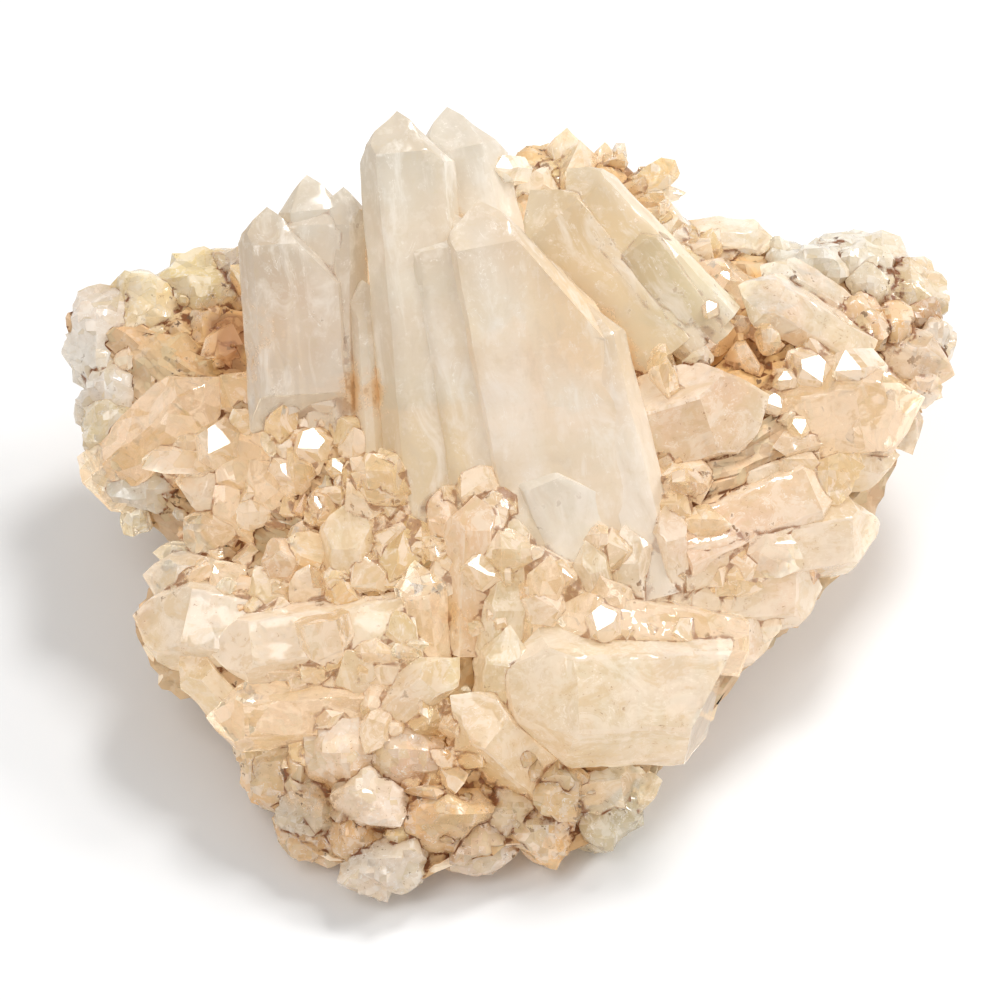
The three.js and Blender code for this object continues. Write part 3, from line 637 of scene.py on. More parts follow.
def lump_block(lumps, rows, columns, fracture, fracture_size):
    """Lumps as one block: the soft minimum of reach_i / cos(angle to face i), plus some fracture."""
    middle, facing, reach = lump_planes(lumps)
    ray = rays(rows, columns)
    toward = np.maximum(np.einsum("kx,lfx->lkf", ray, facing), GRAZING)
    distance = ((toward / reach[:, None]) ** WEAR).sum(-1) ** (-1 / WEAR)
    points = middle[:, None] + ray[None] * distance[..., None]
    grain = breakage(points, fracture_size, 3) + 0.5 * breakage(points, fracture_size / 2.3, 5)
    points = points + ray[None] * (fracture * (grain - 0.35) + 0.4 * rough(points, 5, 2, 17))[..., None]
    return {
        "points": points, "rows": rows, "columns": columns, "numbers": LUMP_NUMBER + np.arange(len(lumps)),
        "planes": facing, "tint": np.array([TINTS[row[3]] for row in lumps]),
    }


print("planes of the lumps", lump_planes(LUMP_ROWS)[1].shape)

# %% [markdown]
# ## The bed
# The bed is a loft: rings of listed rim points drawn in towards its middle, and down its underside
# to the flat rest. Between those rings the surface is filled in evenly and then fractured.

# %% The bed's rings
RIM = np.array([
    [-86, 37, -33], [-83, 40, -34], [-74, 41, -34], [-66, 44, -35], [-58, 46, -36], [-48, 50, -38],
    [-38, 53, -40], [-24, 58, -42], [-10, 63, -43], [2, 67, -43], [12, 68, -43], [24, 63, -41],
    [33, 57, -38], [45, 53, -37], [56, 51, -37], [67, 51, -38], [75, 49, -37], [82, 44, -35],
    [86, 38, -32], [88, 32, -30], [87, 25, -28], [83, 15, -25], [79, 5, -22], [74, -5, -19],
    [69, -14, -17], [58, -25, -13], [50, -31, -10], [42, -44, -2], [34, -52, 2], [26, -64, 7],
    [14, -69, 10], [1, -70, 12], [-12, -74, 14], [-24, -77, 15], [-34, -72, 13], [-43, -65, 10],
    [-49, -55, 6], [-53, -47, 3], [-62, -41, 1], [-70, -36, 0], [-72, -29, -2], [-71, -20, -6],
    [-67, -12, -10], [-61, -6.5, -13], [-69, -1, -17], [-78, 5, -21], [-81, 15, -25], [-84, 26, -30],
], float)
BED_MIDDLE = np.array([0.0, -12, 10])
BED_SWELL = 2.3
BED_RINGS = (0.16, 0.35, 0.55, 0.75, 0.9)
BED_ROUGHNESS = 1.5
UNDERSIDE = ((0.93, 0.3), (0.8, 0.72))
FOOTPRINT = 0.62
REST_DEPTH = 3
BED_NUMBER = 499


def bed_rings():
    """The solid's rings of points in the part's frame in millimetres, middle first."""
    spots = np.arange(len(RIM))

    def roughen(points, seed):
        offset = np.stack([2 * chance(seed + spots + k) - 1 for k in (0, 0.3, 0.6)], -1)
        return points + BED_ROUGHNESS * offset

    rings = []
    for number, share in enumerate(BED_RINGS):
        weight = np.array([share, share, share**BED_SWELL])
        ring = to_part(seen(BED_MIDDLE + weight * (RIM - BED_MIDDLE))) / MM
        rings.append(roughen(ring, 100 * number))
    rim = roughen(to_part(seen(RIM)) / MM, 700)
    rings.append(rim)
    for number, (reach, drop) in enumerate(UNDERSIDE):
        rings.append(roughen(rim * [reach, reach, 1 - drop], 800 + 100 * number))
    rings.append(np.column_stack([rim[:, :2] * FOOTPRINT, np.full(len(rim), -REST_DEPTH)]))
    return np.array(rings), to_part(seen(BED_MIDDLE))[0] / MM


def bed_block(row_step, column_step, fracture):
    """The rings filled in evenly both ways, then moved along the surface's normal by fracture."""
    rings, middle = bed_rings()
    rings = np.concatenate([middle + 0.1 * (rings[:1] - middle), rings])
    closed = np.concatenate([rings, rings[:, :1]], 1)
    around = np.arange(0, len(RIM), 1 / column_step)
    left = np.floor(around).astype(int)
    share = (around - left)[:, None]
    filled = closed[:, left] * (1 - share) + closed[:, left + 1] * share
    down = np.arange(0, len(rings) - 1 + 1e-9, 1 / row_step)
    top = np.minimum(np.floor(down).astype(int), len(rings) - 2)
    share = (down - top)[:, None, None]
    grid = (filled[top] * (1 - share) + filled[top + 1] * share)[::-1, ::-1]
    rows, columns = grid.shape[:2]
    normal = unit(np.cross(np.roll(grid, -1, 1) - np.roll(grid, 1, 1), np.gradient(grid, axis=0)) + 1e-9)
    height = breakage(grid, 5, 41) + 0.6 * breakage(grid, 2.4, 43) - 0.35 + 0.6 * rough(grid, 14, 3, 11)
    points = grid + fracture * height[..., None] * normal
    poles = np.array([[0, 0, -REST_DEPTH], middle])
    face = to_face(np.concatenate([points.reshape(-1, 3), poles])[None] * MM)
    return {"points": face, "rows": rows, "columns": columns, "numbers": [BED_NUMBER]}


print("the bed's rings", bed_rings()[0].shape)

# %% [markdown]
# ## Where colour comes from
# Iron colours the cluster by place: honey on the left wing, peach at the foot, green-grey under the
# blades. A few named places each have a tint, and a point takes the tints of the places near it. The
# named crystals mix some of it into their own.

# %% Tints by place
PLACES = [
    ((-85, 30), 12, "chalk"), ((-70, 40), 13, "amber"), ((-52, 36), 13, "rust"), ((-78, 8), 14, "cream"),
    ((-45, 8), 14, "cream"), ((-35, -8), 16, "honey"), ((-62, -22), 16, "cream"), ((-20, -14), 16, "honey"),
    ((-35, -60), 18, "peach"), ((-8, -62), 14, "clay"), ((12, -60), 12, "peach"), ((28, -56), 12, "green"),
    ((2, -18), 12, "olive"), ((40, -20), 22, "pale"), ((65, -8), 16, "pale"), ((50, 32), 9, "rust"),
    ((70, 20), 16, "pale"), ((85, 38), 12, "peach"), ((60, 45), 14, "cream"), ((25, 60), 16, "peach"),
    ((38, 44), 12, "honey"), ((-20, 60), 20, "cream"), ((-40, -38), 16, "pale"), ((30, -35), 16, "pale"),
]
DIRTY_PLACES = [
    ((-54, 33), 11, 1.3), ((50, 29), 9, 1.0), ((-63, 1), 6, 1.4), ((-27, 22), 7, 1.0), ((-8, -57), 14, 1.2),
    ((12, -58), 9, 1.1), ((24, 62), 14, 0.5), ((38, 46), 10, 0.5), ((80, 35), 9, 0.6), ((-38, -62), 12, 1.1),
    ((-26, -68), 10, 0.8), ((-29, -3), 9, 0.6), ((-6, -22), 6, 0.7), ((34, -27), 5, 0.6), ((74, 14), 8, 0.4),
    ((-20, -6), 7, 0.6),
]
CLEAN_PLACES = [
    ((50, -14), 22, 0.85), ((30, -40), 18, 0.8), ((70, 18), 14, 0.7), ((76, 44), 12, 0.8), ((-42, -36), 14, 0.5),
    ((38, 14), 10, 0.6), ((-82, 28), 10, 0.6),
]
VEILED_PLACES = [
    ((-6, 34), 6, 0.8), ((2, 16), 10, 0.8), ((9, -1), 12, 0.9), ((17, 38), 5, 0.5), ((-40, 34), 9, 0.4),
]
MILK = (0.92, 0.89, 0.83)


def crowding(spots, places):
    """How crowded a place is: the highest of the named places' bell curves."""
    return np.max([
        most * np.exp(-((spots[..., 0] - x) ** 2 + (spots[..., 1] - y) ** 2) / size**2)
        for (x, y), size, most in places
    ], 0)


def mixed(colour, other, share):
    """Colours brought towards another one by a share for each."""
    return colour + (np.array(other) - colour) * share[..., None]


def tint_at(face):
    """Each point's tint: the named places' tints, weighted by a bell curve of the distance."""
    total = np.full(face.shape[:-1] + (1,), 1e-3)
    colour = total * np.array(TINTS["cream"])
    for (x, y), size, name in PLACES:
        away = ((face[..., 0] - x) ** 2 + (face[..., 1] - y) ** 2) / size**2
        weight = np.exp(-away)[..., None]
        colour = colour + weight * np.array(TINTS[name])
        total = total + weight
    return colour / total


def mottled(colour, place, own, much, milky):
    """A tint with patches of honey, green and rose, and with milky veils along the crystal."""
    for hue, size, seed in (("honey", 17, 51), ("olive", 14, 57), ("rosy", 19, 63)):
        colour = mixed(colour, TINTS[hue], much * s_curve(rough(place, size, 2, seed), 0.1, 0.6))
    veil = s_curve(rough(own / [1, 1, 3], 7, 2, 71), -0.2, 0.5)
    veil = veil * (0.35 + 0.65 * crowding(place, VEILED_PLACES))
    return mixed(colour, MILK, milky * veil)


print("the tint in the middle of the face", tint_at(np.zeros((1, 2))).round(2))

# %% [markdown]
# ## Depth
# Dirt and iron stain stay where nothing rubs them off, and first of all deep in the hollows. The
# skyline is the height of the surface out of the face at each millimetre and a half, smoothed over
# its neighbourhood, and a point's depth is how far it lies under that. A finish could look for hollows
# too, but only while it renders, and these depths stay with the mesh.

# %% The skyline
CELL = 1.5
REACH = 100
EMPTY = -60.0
LOWEST_SMOOTH = -45
CREVICE = 15


class Skyline:
    """Highest z of the face at each cell of a grid, and the same after a running mean."""

    def __init__(self, clouds, blur):
        size = int(2 * REACH / CELL)
        heights = np.full((size, size), EMPTY)
        for cloud in clouds:
            flat = cloud.reshape(-1, 3)
            index = ((flat[:, :2] + REACH) / CELL).astype(int).clip(0, size - 1)
            np.maximum.at(heights, (index[:, 0], index[:, 1]), flat[:, 2])
        around = [np.roll(heights, (i, j), (0, 1)) for i in (-1, 0, 1) for j in (-1, 0, 1)]
        self.raw = np.where(heights < EMPTY + 1, np.maximum.reduce(around), heights)
        self.smooth = np.maximum(self.raw, LOWEST_SMOOTH)
        for _ in range(3):
            for axis in (0, 1):
                self.smooth = sum(np.roll(self.smooth, k, axis) for k in range(-blur, blur + 1)) / (2 * blur + 1)

    @staticmethod
    def read(field, points):
        """A field between its cells' middles: the four nearest values, weighted by nearness."""
        place = (points[..., :2] + REACH) / CELL - 0.5
        base = np.floor(place).astype(int).clip(0, len(field) - 2)
        f = (place - base).clip(0, 1)
        i, j, f, g = base[..., 0], base[..., 1], f[..., 0], f[..., 1]
        low, high = (field[i + k, j] * (1 - g) + field[i + k, j + 1] * g for k in (0, 1))
        return low * (1 - f) + high * f

    def depth(self, points):
        """Millimetres under the smoothed skyline, fading out past what a crevice can be."""
        deep = np.maximum(self.read(self.smooth, points) - points[..., 2], 0)
        return np.where(deep > CREVICE, CREVICE * np.exp((CREVICE - deep) / 6), deep)


print("cells of the skyline along each side", int(2 * REACH / CELL))

# %% [markdown]
# ## Seams
# Stain also stays where two crystals meet. The gap is the way from a point to the nearest other
# crystal, and that is the largest of the signed distances to the crystal's planes. The tall blades
# grew into one another, so there is no seam between them.

# %% Seams
FAR = 9.0
INSIDE = -0.3
FUSED_BLADES = 8


def solid_bodies():
    """The named crystals and lumps as planes: number, normals, distances and the box they lie in."""
    bodies = []
    stones = STONES["blades"] + STONES["points"]
    normals, distances = crystal_planes(crystal_shapes(stones))
    for i, stone in enumerate(stones):
        ends = np.stack([stone["tip"], stone["foot"]])
        half = 0.6 * stone["wide"]
        bodies.append((stone["number"], normals[i], distances[i], ends.min(0) - half, ends.max(0) + half))
    middle, facing, reach = lump_planes(LUMP_ROWS)
    for i, row in enumerate(LUMP_ROWS):
        half = BLOCK_SHARE * np.array(row[2])
        offset = facing[i] @ middle[i] + reach[i]
        bodies.append((LUMP_NUMBER + i, facing[i], offset, middle[i] - half, middle[i] + half))
    return bodies


def gaps(points, owner, bodies, bed_sky):
    """Millimetres from each point to the nearest body that isn't its own, or to the bed. The tall
    front blades have the first numbers, and none of them counts as another body to the rest."""
    flat, mine = points.reshape(-1, 3), owner.reshape(-1)
    gap = np.full(len(flat), FAR)
    for number, normals, offsets, low, high in bodies:
        apart = (mine != number) & ((mine > FUSED_BLADES) | (number > FUSED_BLADES))
        near = np.flatnonzero(((flat > low - 2) & (flat < high + 2)).all(1) & apart)
        away = (flat[near] @ normals.T - offsets).max(1)
        gap[near] = np.minimum(gap[near], np.where(away > INSIDE, np.abs(away), FAR))
    above = flat[:, 2] - bed_sky.read(bed_sky.raw, flat)
    return np.where((mine != BED_NUMBER) & (above > INSIDE), np.minimum(gap, np.abs(above)), gap)


print(len(solid_bodies()), "bodies that a seam can run along")

# %% [markdown]
# ## Where small ones grow
# Small crystals and broken bits crowd the hollows between the large ones. All are drawn at random
# over the front, thickest where it lies deep and where the named places are crowded, so that the
# order looks like chance but the crowds stand where they do on the real one.

# %% Where small ones grow
SPREAD = 92
OFF_THE_EDGE = -50
EDGE_STEP = 3
CLEARANCE = 0.8
DRUSE_PLACES = [
    ((-42, 8), 16, 1.0), ((-28, -6), 16, 1.0), ((2, -12), 12, 0.8), ((34, 6), 12, 0.1), ((24, 60), 16, 1.0),
    ((58, 20), 12, 0.9), ((70, 40), 12, 0.2), ((-60, -14), 12, 0.7), ((-14, -48), 12, 0.6), ((44, 34), 12, 0.8),
    ((-50, 34), 12, 0.7), ((48, -14), 16, 0.3), ((-28, -30), 14, 0.6), ((-70, 12), 12, 0.5), ((30, -20), 12, 0.8),
]
SHARD_PLACES = [
    ((-40, 8), 14, 0.9), ((-28, -8), 16, 1.0), ((-60, -12), 12, 0.8), ((2, -14), 10, 0.7), ((42, 30), 14, 0.8),
    ((-68, 8), 12, 0.7), ((-48, -30), 14, 0.6), ((48, -8), 18, 0.8), ((26, 60), 14, 0.8), ((72, 36), 14, 0.2),
    ((34, -24), 10, 0.7), ((-22, -34), 12, 0.6), ((-70, 38), 14, 0.2), ((30, 2), 10, 0.1), ((66, 8), 12, 0.5),
]
RUBBLE_PLACES = [
    ((24, 60), 16, 1.0), ((44, 40), 14, 0.8), ((-52, 34), 12, 0.9), ((-6, -58), 16, 1.0), ((12, -58), 10, 1.0),
    ((-38, -62), 12, 0.7), ((74, 34), 12, 0.1), ((-62, 2), 12, 0.6), ((-20, 2), 10, 0.7), ((-28, 22), 8, 0.8),
    ((56, -2), 12, 0.5), ((-50, -50), 10, 0.5), ((30, -58), 10, 0.4), ((50, 28), 8, 0.9), ((-6, -38), 6, 0.8),
]


def hollow_spots(tries, places, draw, sky, large_sky):
    """Random places on the surface that the skyline covers, mostly deep and crowded ones, and none
    on the open face of a large crystal."""
    spots = np.column_stack([draw.uniform(-SPREAD, SPREAD, (tries, 2)), np.zeros(tries)])
    height = sky.read(sky.raw, spots)
    spots[:, 2] = height
    steps = EDGE_STEP * np.array([(1, 0, 0), (-1, 0, 0), (0, 1, 0), (0, -1, 0)])
    edge = np.min([sky.read(sky.raw, spots + step) for step in steps], 0)
    deep = np.clip((sky.read(sky.smooth, spots) - height + 2) / 4, 0, 1)
    clear_of_large = height > large_sky.read(large_sky.raw, spots) + CLEARANCE
    kept = (edge > OFF_THE_EDGE) & clear_of_large & (draw.random(tries) < deep * crowding(spots, places))
    return spots[kept]


print(len(DRUSE_PLACES), "crowds of druse,", len(SHARD_PLACES), "of shards and", len(RUBBLE_PLACES), "of rubble")

# %% [markdown]
# ## Druse
# Druse is a crust of small quartz points. It uses the crystal's surface with few rows and columns,
# because there are hundreds of them. Each leans away from the blades' feet, and by chance.

# %% Druse
DRUSE_SEED = 11
DRUSE_TRIES = 4200
DRUSE_NUMBER = 1000
DRUSE_WIDTH = (3.5, 8.5)
DRUSE_TINTS = np.array(["clear", "cream", "honey", "peach", "pale"])


def drawn_stones(first, tip, foot, wide, deep, turn, tints):
    """Drawn crystals as rows like those of the named ones, numbered from the first number on."""
    return [
        {"tip": tip[i], "foot": foot[i], "wide": wide[i], "deep": deep[i], "turn": turn[i],
         "seed": first + i, "number": first + i, "tint": tints[i]}
        for i in range(len(tip))
    ]


def druse_stones(sky, large_sky):
    """Small crystals in the hollows, a few of them large."""
    draw = np.random.default_rng(DRUSE_SEED)
    spots = hollow_spots(DRUSE_TRIES, DRUSE_PLACES, draw, sky, large_sky)
    count = len(spots)
    lean = np.column_stack([spots[:, 0] / 90, (spots[:, 1] + 12) / 80, np.full(count, 0.9)])
    lean = unit(lean + draw.normal(0, 0.5, spots.shape))
    wide = DRUSE_WIDTH[0] + DRUSE_WIDTH[1] * draw.random(count) ** 1.6
    tip = spots + lean * (wide * (0.05 + 0.35 * draw.random(count)))[:, None]
    foot = spots - lean * (wide * 0.9)[:, None]
    deep = wide * (0.6 + 0.4 * draw.random(count))
    turn = 60 * draw.random(count)
    tints = DRUSE_TINTS[draw.integers(0, len(DRUSE_TINTS), count)]
    return drawn_stones(DRUSE_NUMBER, tip, foot, wide, deep, turn, tints)


print("druse is drawn at most", DRUSE_TRIES, "times")

# %% [markdown]
# ## Flashing crystals
# A crystal flashes white when one of its faces is a mirror for the lamp. A few small ones stand where
# the cluster flashes, and each is turned so that one face throws the overhead lamp's light to the eye.

# %% Flashing crystals
OVERHEAD = (0.30, 0.50, 1.05)
FLASH_NUMBER = 2800
FLASHES = [
    (-57, 10.5, 10), (-66.5, 13, 9), (-50.5, 15, 5), (-45.5, 16.5, 6), (-45, 13, 4), (-38, 10.5, 8), (-42.5, 5, 5),
    (-32, 6, 5), (-28.5, 6.5, 5), (-12, -10.5, 5), (63, 25, 8), (70, 26, 9), (55, 19, 5), (60, 14, 5), (57, 24, 4),
    (74, 17, 6), (20, -24.5, 8), (-36, -1, 4), (1, 66, 6), (11, 67, 5), (42, 38, 4),
]


def flashing_stones(sky):
    """Crystals with one cap face square to the half-way direction between the lamp and the eye: the
    axis leans from that normal n by the cap angle a, as n cos a + q sin a with q square to n."""
    spots = np.array([(x, y, 0) for x, y, wide in FLASHES], float)
    wide = np.array([wide for x, y, wide in FLASHES], float)
    spots[:, 2] = sky.read(sky.raw, spots)
    eye = unit(np.array([0, 0, EYE]) - spots)
    normal = unit(eye + unit(to_face(np.array(OVERHEAD)) - spots))
    beside = unit(np.cross(eye, normal))
    swing = (0.9 * (2 * chance(np.arange(len(spots)) + 0.5) - 1))[:, None]
    square = np.cos(swing) * np.cross(normal, beside) + np.sin(swing) * beside
    square *= np.sign((square * eye).sum(-1))[:, None]
    along = math.cos(CAP_ANGLE) * normal + math.sin(CAP_ANGLE) * square
    across = unit(np.cross(along, [0, 0, 1]))
    turn = np.degrees(np.arctan2((normal * across).sum(-1), (normal * np.cross(across, along)).sum(-1)))
    tip, foot = spots + along * (0.55 * wide)[:, None], spots - along * (0.9 * wide)[:, None]
    return drawn_stones(FLASH_NUMBER, tip, foot, wide, 0.9 * wide, turn, ["clear"] * len(FLASHES))


print(len(FLASHES), "crystals that flash")

# %% [markdown]
# ## Shards and rubble
# Broken quartz lies between the crystals, as coarse clear shards and as fine rubble. A bit is a ball
# cut by nine random planes, which gives flat faces and sharp edges with few triangles.

# %% Shards and rubble
RUBBLE_TRIES = 1900
RUBBLE_NUMBER = 3000
RUBBLE_SIZES = (0.8, 2.6)
SHARD_TRIES = 1500
SHARD_NUMBER = 4500
SHARD_SIZES = (1.8, 6.0)
BIT_PLANES = 9


def broken_block(sky, large_sky, places, tries, first, sizes, rows, columns):
    """Broken bits: in direction u the surface lies at the least of 1 / max(u . n_i) over their planes."""
    draw = np.random.default_rng(first)
    spots = hollow_spots(tries, places, draw, sky, large_sky)
    count = len(spots)
    size = sizes[0] + (sizes[1] - sizes[0]) * draw.random(count) ** 1.7
    planes = unit(draw.normal(0, 1, (count, BIT_PLANES, 3)))
    stand_off = draw.uniform(0.6, 1.0, (count, BIT_PLANES))
    stretch = draw.uniform(0.6, 1.4, (count, 3))
    ray = rays(rows, columns)
    toward = np.maximum(np.einsum("kx,sfx->skf", ray, planes) / stand_off[:, None], 0.6).max(-1)
    body = ray[None] / toward[..., None] * stretch[:, None] * size[:, None, None]
    return {
        "points": spots[:, None] + body, "rows": rows, "columns": columns, "numbers": first + np.arange(count),
        "planes": unit(planes / stretch[:, None]),
    }


print("shards and rubble are drawn at most", SHARD_TRIES, "and", RUBBLE_TRIES, "times")

# %% [markdown]
# ## Building the cluster
# The named bodies come first, then the small ones that fill what is left between them, because the
# skyline of the first says where there is room. The tall blades have the finest grids: they are
# what the eye meets first, and their ledges are low.

# %% Build the bodies
LARGE = 9
GREAT = 16
great = [s for s in STONES["blades"] if s["wide"] >= GREAT]
lesser = [s for s in STONES["blades"] if s["wide"] < GREAT]
clear = [s for s in STONES["points"] if s["tint"] == "clear"]
cloudy = [s for s in STONES["points"] if s["tint"] != "clear"]
blocks = {
    "blade": [
        crystal_block(great, 8, 46, 2, 10, wander=0.3, ledge=0.25, bevel=0.08),
        crystal_block(lesser, 5, 26, 1, 7, wander=0.25, ledge=0.2, bevel=0.09),
    ],
    "clear": [crystal_block(clear, 4, 18, 1, 6, wander=0.6, ledge=0.4)],
    "cloudy": [crystal_block(cloudy, 5, 20, 1, 7, wander=0.7, ledge=0.35)],
    "worn": [lump_block(LUMP_ROWS, 16, 28, fracture=1.0, fracture_size=7.0)],
    "bed": [bed_block(row_step=6, column_step=5, fracture=1.3)],
}
named_sky = Skyline([b["points"] for group in blocks.values() for b in group], 3)
large_sky = Skyline([
    block["points"][[i for i, s in enumerate(group) if s["wide"] >= LARGE]]
    for block, group in zip(blocks["blade"], (great, lesser))
], 3)
skies = (named_sky, large_sky)
blocks["druse"] = [crystal_block(druse_stones(*skies) + flashing_stones(named_sky), 1, 1, 0, 1)]
blocks["shard"] = [broken_block(*skies, SHARD_PLACES, SHARD_TRIES, SHARD_NUMBER, SHARD_SIZES, 6, 9)]
blocks["worn"].append(broken_block(*skies, RUBBLE_PLACES, RUBBLE_TRIES, RUBBLE_NUMBER, RUBBLE_SIZES, 4, 6))
sky = Skyline([b["points"] for group in blocks.values() for b in group], 4)
bed_points = blocks["bed"][0]["points"][0]
bed_sky = Skyline([bed_points[bed_points[:, 2] > OFF_THE_EDGE]], 1)
print({name: sum(len(block["numbers"]) for block in group) for name, group in blocks.items()})

# %% [markdown]
# ## A book of bodies
# The joined skin only knows each face's body by number. The book says for every number where that
# body's own coordinates start, its tint, its finish and its planes. The table gives each finish's
# patches, veils, shift behind a facet, facet tones, which are painted light and shade, and the darkness
# of clean and stained nooks: a painted shade in every nook, with stain added where it is stained.

# %% The book of bodies
SKIN_VALUES = {
    "blade": (0.1, 0.75, 1.5, 0.07, 0.04, 0.0), "clear": (0.1, 0.75, 9, 0.5, 0.06, 0.3),
    "cloudy": (0.4, 0.75, 9, 0.4, 0.06, 0.35), "druse": (0.5, 0.6, 9, 0.8, 0.06, 0.45),
    "shard": (0.5, 0.6, 9, 0.8, 0.06, 0.45), "worn": (0.25, 0.15, 6, 0.25, 0.2, 0.7),
    "bed": (0.5, 0.0, 0, 0.0, 0.1, 0.6),
}
FINISH_NAMES = list(SKIN_VALUES)
# The least darkness of nooks is a painted shade, and the facet tones are painted light and shade.
MOTTLE, VEIL, FACET_SHIFT, FACET_LIGHT_AND_SHADE, NOOK_SHADE, NOOK_STAINED = np.array(list(SKIN_VALUES.values())).T
MOST_BODIES = 6000
MOST_PLANES = 19
PLACE_SHARE = 0.4
LUMP_PLACE_SHARE = 0.35
book = {
    "origin": np.zeros((MOST_BODIES, 3)), "axes": np.tile(np.eye(3), (MOST_BODIES, 1, 1)),
    "shift": np.zeros(MOST_BODIES), "tint": np.zeros((MOST_BODIES, 3)),
    "share": np.full(MOST_BODIES, PLACE_SHARE), "finish": np.zeros(MOST_BODIES, int),
    "planes": np.zeros((MOST_BODIES, MOST_PLANES, 3)),
}
for name, group in blocks.items():
    for block in group:
        numbers = np.array(block["numbers"])
        for key in ("origin", "axes", "shift", "tint"):
            if key in block:
                book[key][numbers] = block[key]
        if "planes" in block:
            book["planes"][numbers, :block["planes"].shape[1]] = block["planes"]
        if "tint" not in block:
            book["share"][numbers] = 1
        elif name == "worn":
            book["share"][numbers] = LUMP_PLACE_SHARE
        book["finish"][numbers] = FINISH_NAMES.index(name)
print("the book holds", int((book["finish"] > 0).sum()), "bodies that aren't blades")

# %% [markdown]
# ## Values on the skin
# Each corner of the skin gets its crystal's own coordinates and a tint. Looked at through a facet, what
# lies inside a crystal seems moved, and by another way through each facet. So the own coordinates
# are moved along the normal of the plane that a face belongs to. For the same cause each facet is
# painted a little lighter or darker than the next: painted light and shade. Nooks near another crystal
# are painted darker, a painted shade, with stain added where they are stained. The bevels on crystal
# edges are painted paler, a painted highlight that is partly chipped wear, and the blades are painted
# darker towards their tips, a painted shade. Each point gets its gap, as a share of the seam's width
# there, and how stained it is.

# %% Facets and stain
def of_finish(finish, *names):
    """Which values belong to one of the named finishes."""
    return np.isin(finish, [FINISH_NAMES.index(name) for name in names])


def facet_normals(mesh, body):
    """For each face the normal of its body's plane that it lies nearest to, how near it lies, and a
    number drawn for that plane."""
    normals = np.empty(3 * len(body), np.float32)
    mesh.polygons.foreach_get("normal", normals)
    normals = normals.reshape(-1, 3).astype(float)
    near = np.einsum("fpx,fx->fp", book["planes"][body], normals)
    best = near.argmax(1)
    return book["planes"][body, best], near.max(1), chance(23 * body + best)


def stain_at(points):
    """Stain, 0 where clean and past 1 where dirtiest: deep places and named ones, in coarse patches."""
    deep = sky.depth(points)
    patches = s_curve(rough(points, 11, 3, 81), -0.5, 0.5)
    hollow = s_curve(deep, 2, 10) * (0.3 + 0.7 * patches)
    dirty = crowding(points, DIRTY_PLACES) * (0.45 + 0.55 * s_curve(deep, 0, 4)) * (0.4 + 0.6 * patches)
    return np.maximum(hollow * (1 - crowding(points, CLEAN_PLACES)), 1.5 * dirty)


print("stain in the middle of the face", stain_at(np.zeros((1, 3))).round(2))

# %% The colours of the skin
# A painted highlight on facets, and the pale of a few small bodies by chance.
HIGHLIGHT_AND_PALE = (0.95, 0.93, 0.88)
MOST_DARK = 0.8
TIP_LENGTH = 26


def skin_tint(owner, place, own, nook_shade_and_stain, stain, drawn, nearness):
    """Each corner's tint: its crystal's and its place's mixed, darker in nooks as a painted shade with
    stain added where stained, painted darker on some facets and paler on others as painted light and shade,
    paler on bevelled edges as a painted highlight that is partly chipped wear, painted darker towards the
    blades' tips, and a few small bodies amber or bright by chance."""
    finish, share = book["finish"][owner], book["share"][owner, None]
    tint = book["tint"][owner] * (1 - share) + tint_at(place) * share
    tint = mottled(tint, place, own, MOTTLE[finish], VEIL[finish]) * (0.9 + 0.14 * chance(owner))[:, None]
    tint = mixed(tint, TINTS["clay"], np.where(owner == BED_NUMBER, 0.75, 0))
    # Nooks painted darker: a painted shade, with stain added where they are stained.
    nook_shade_and_stain = (NOOK_SHADE[finish] + NOOK_STAINED[finish] * stain.clip(0, 1)) * nook_shade_and_stain
    # Blades are painted up to a fifth darker towards their tips: a painted shade.
    tip_shade = s_curve(own[:, 2] - book["shift"][owner], -TIP_LENGTH, 0) * of_finish(finish, "blade")
    # Some facets painted darker: painted facet shade, added to the shade of the nooks.
    shade_and_stain = (nook_shade_and_stain + FACET_LIGHT_AND_SHADE[finish] * 0.5 * s_curve(drawn, 0.5, 0)).clip(0, MOST_DARK)
    tint = tint * (1 - shade_and_stain)[:, None] ** [0.7, 1, 1.4] * (1 - 0.2 * tip_shade)[:, None]
    # Other facets painted paler: a painted facet highlight.
    tint = mixed(tint, HIGHLIGHT_AND_PALE, FACET_LIGHT_AND_SHADE[finish] * s_curve(drawn, 0.65, 1))
    luck, small = chance(3 * owner + 0.5), of_finish(finish, "druse", "shard")
    tint = mixed(tint, TINTS["amber"], np.where((luck < 0.18) & small, 0.4, 0))
    tint = mixed(tint, HIGHLIGHT_AND_PALE, np.where((luck > 0.8) & small, 0.55, 0))
    # Bevels along crystal edges painted paler: a painted highlight, and partly chipped wear.
    bevel_highlight_and_wear = of_finish(finish, "clear", "cloudy") * (owner < LUMP_NUMBER)
    return mixed(tint, TINTS["chalk"], 0.4 * bevel_highlight_and_wear * s_curve(nearness, 0.985, 0.93))


print("the brightest facets and shards have the colour", HIGHLIGHT_AND_PALE)

# %% Finish the skin
WIDE_SEAM = (0.02, 0.8)
SEAM_FAR = 20
NOOK = 0.9
SHARP_ANGLE = 31


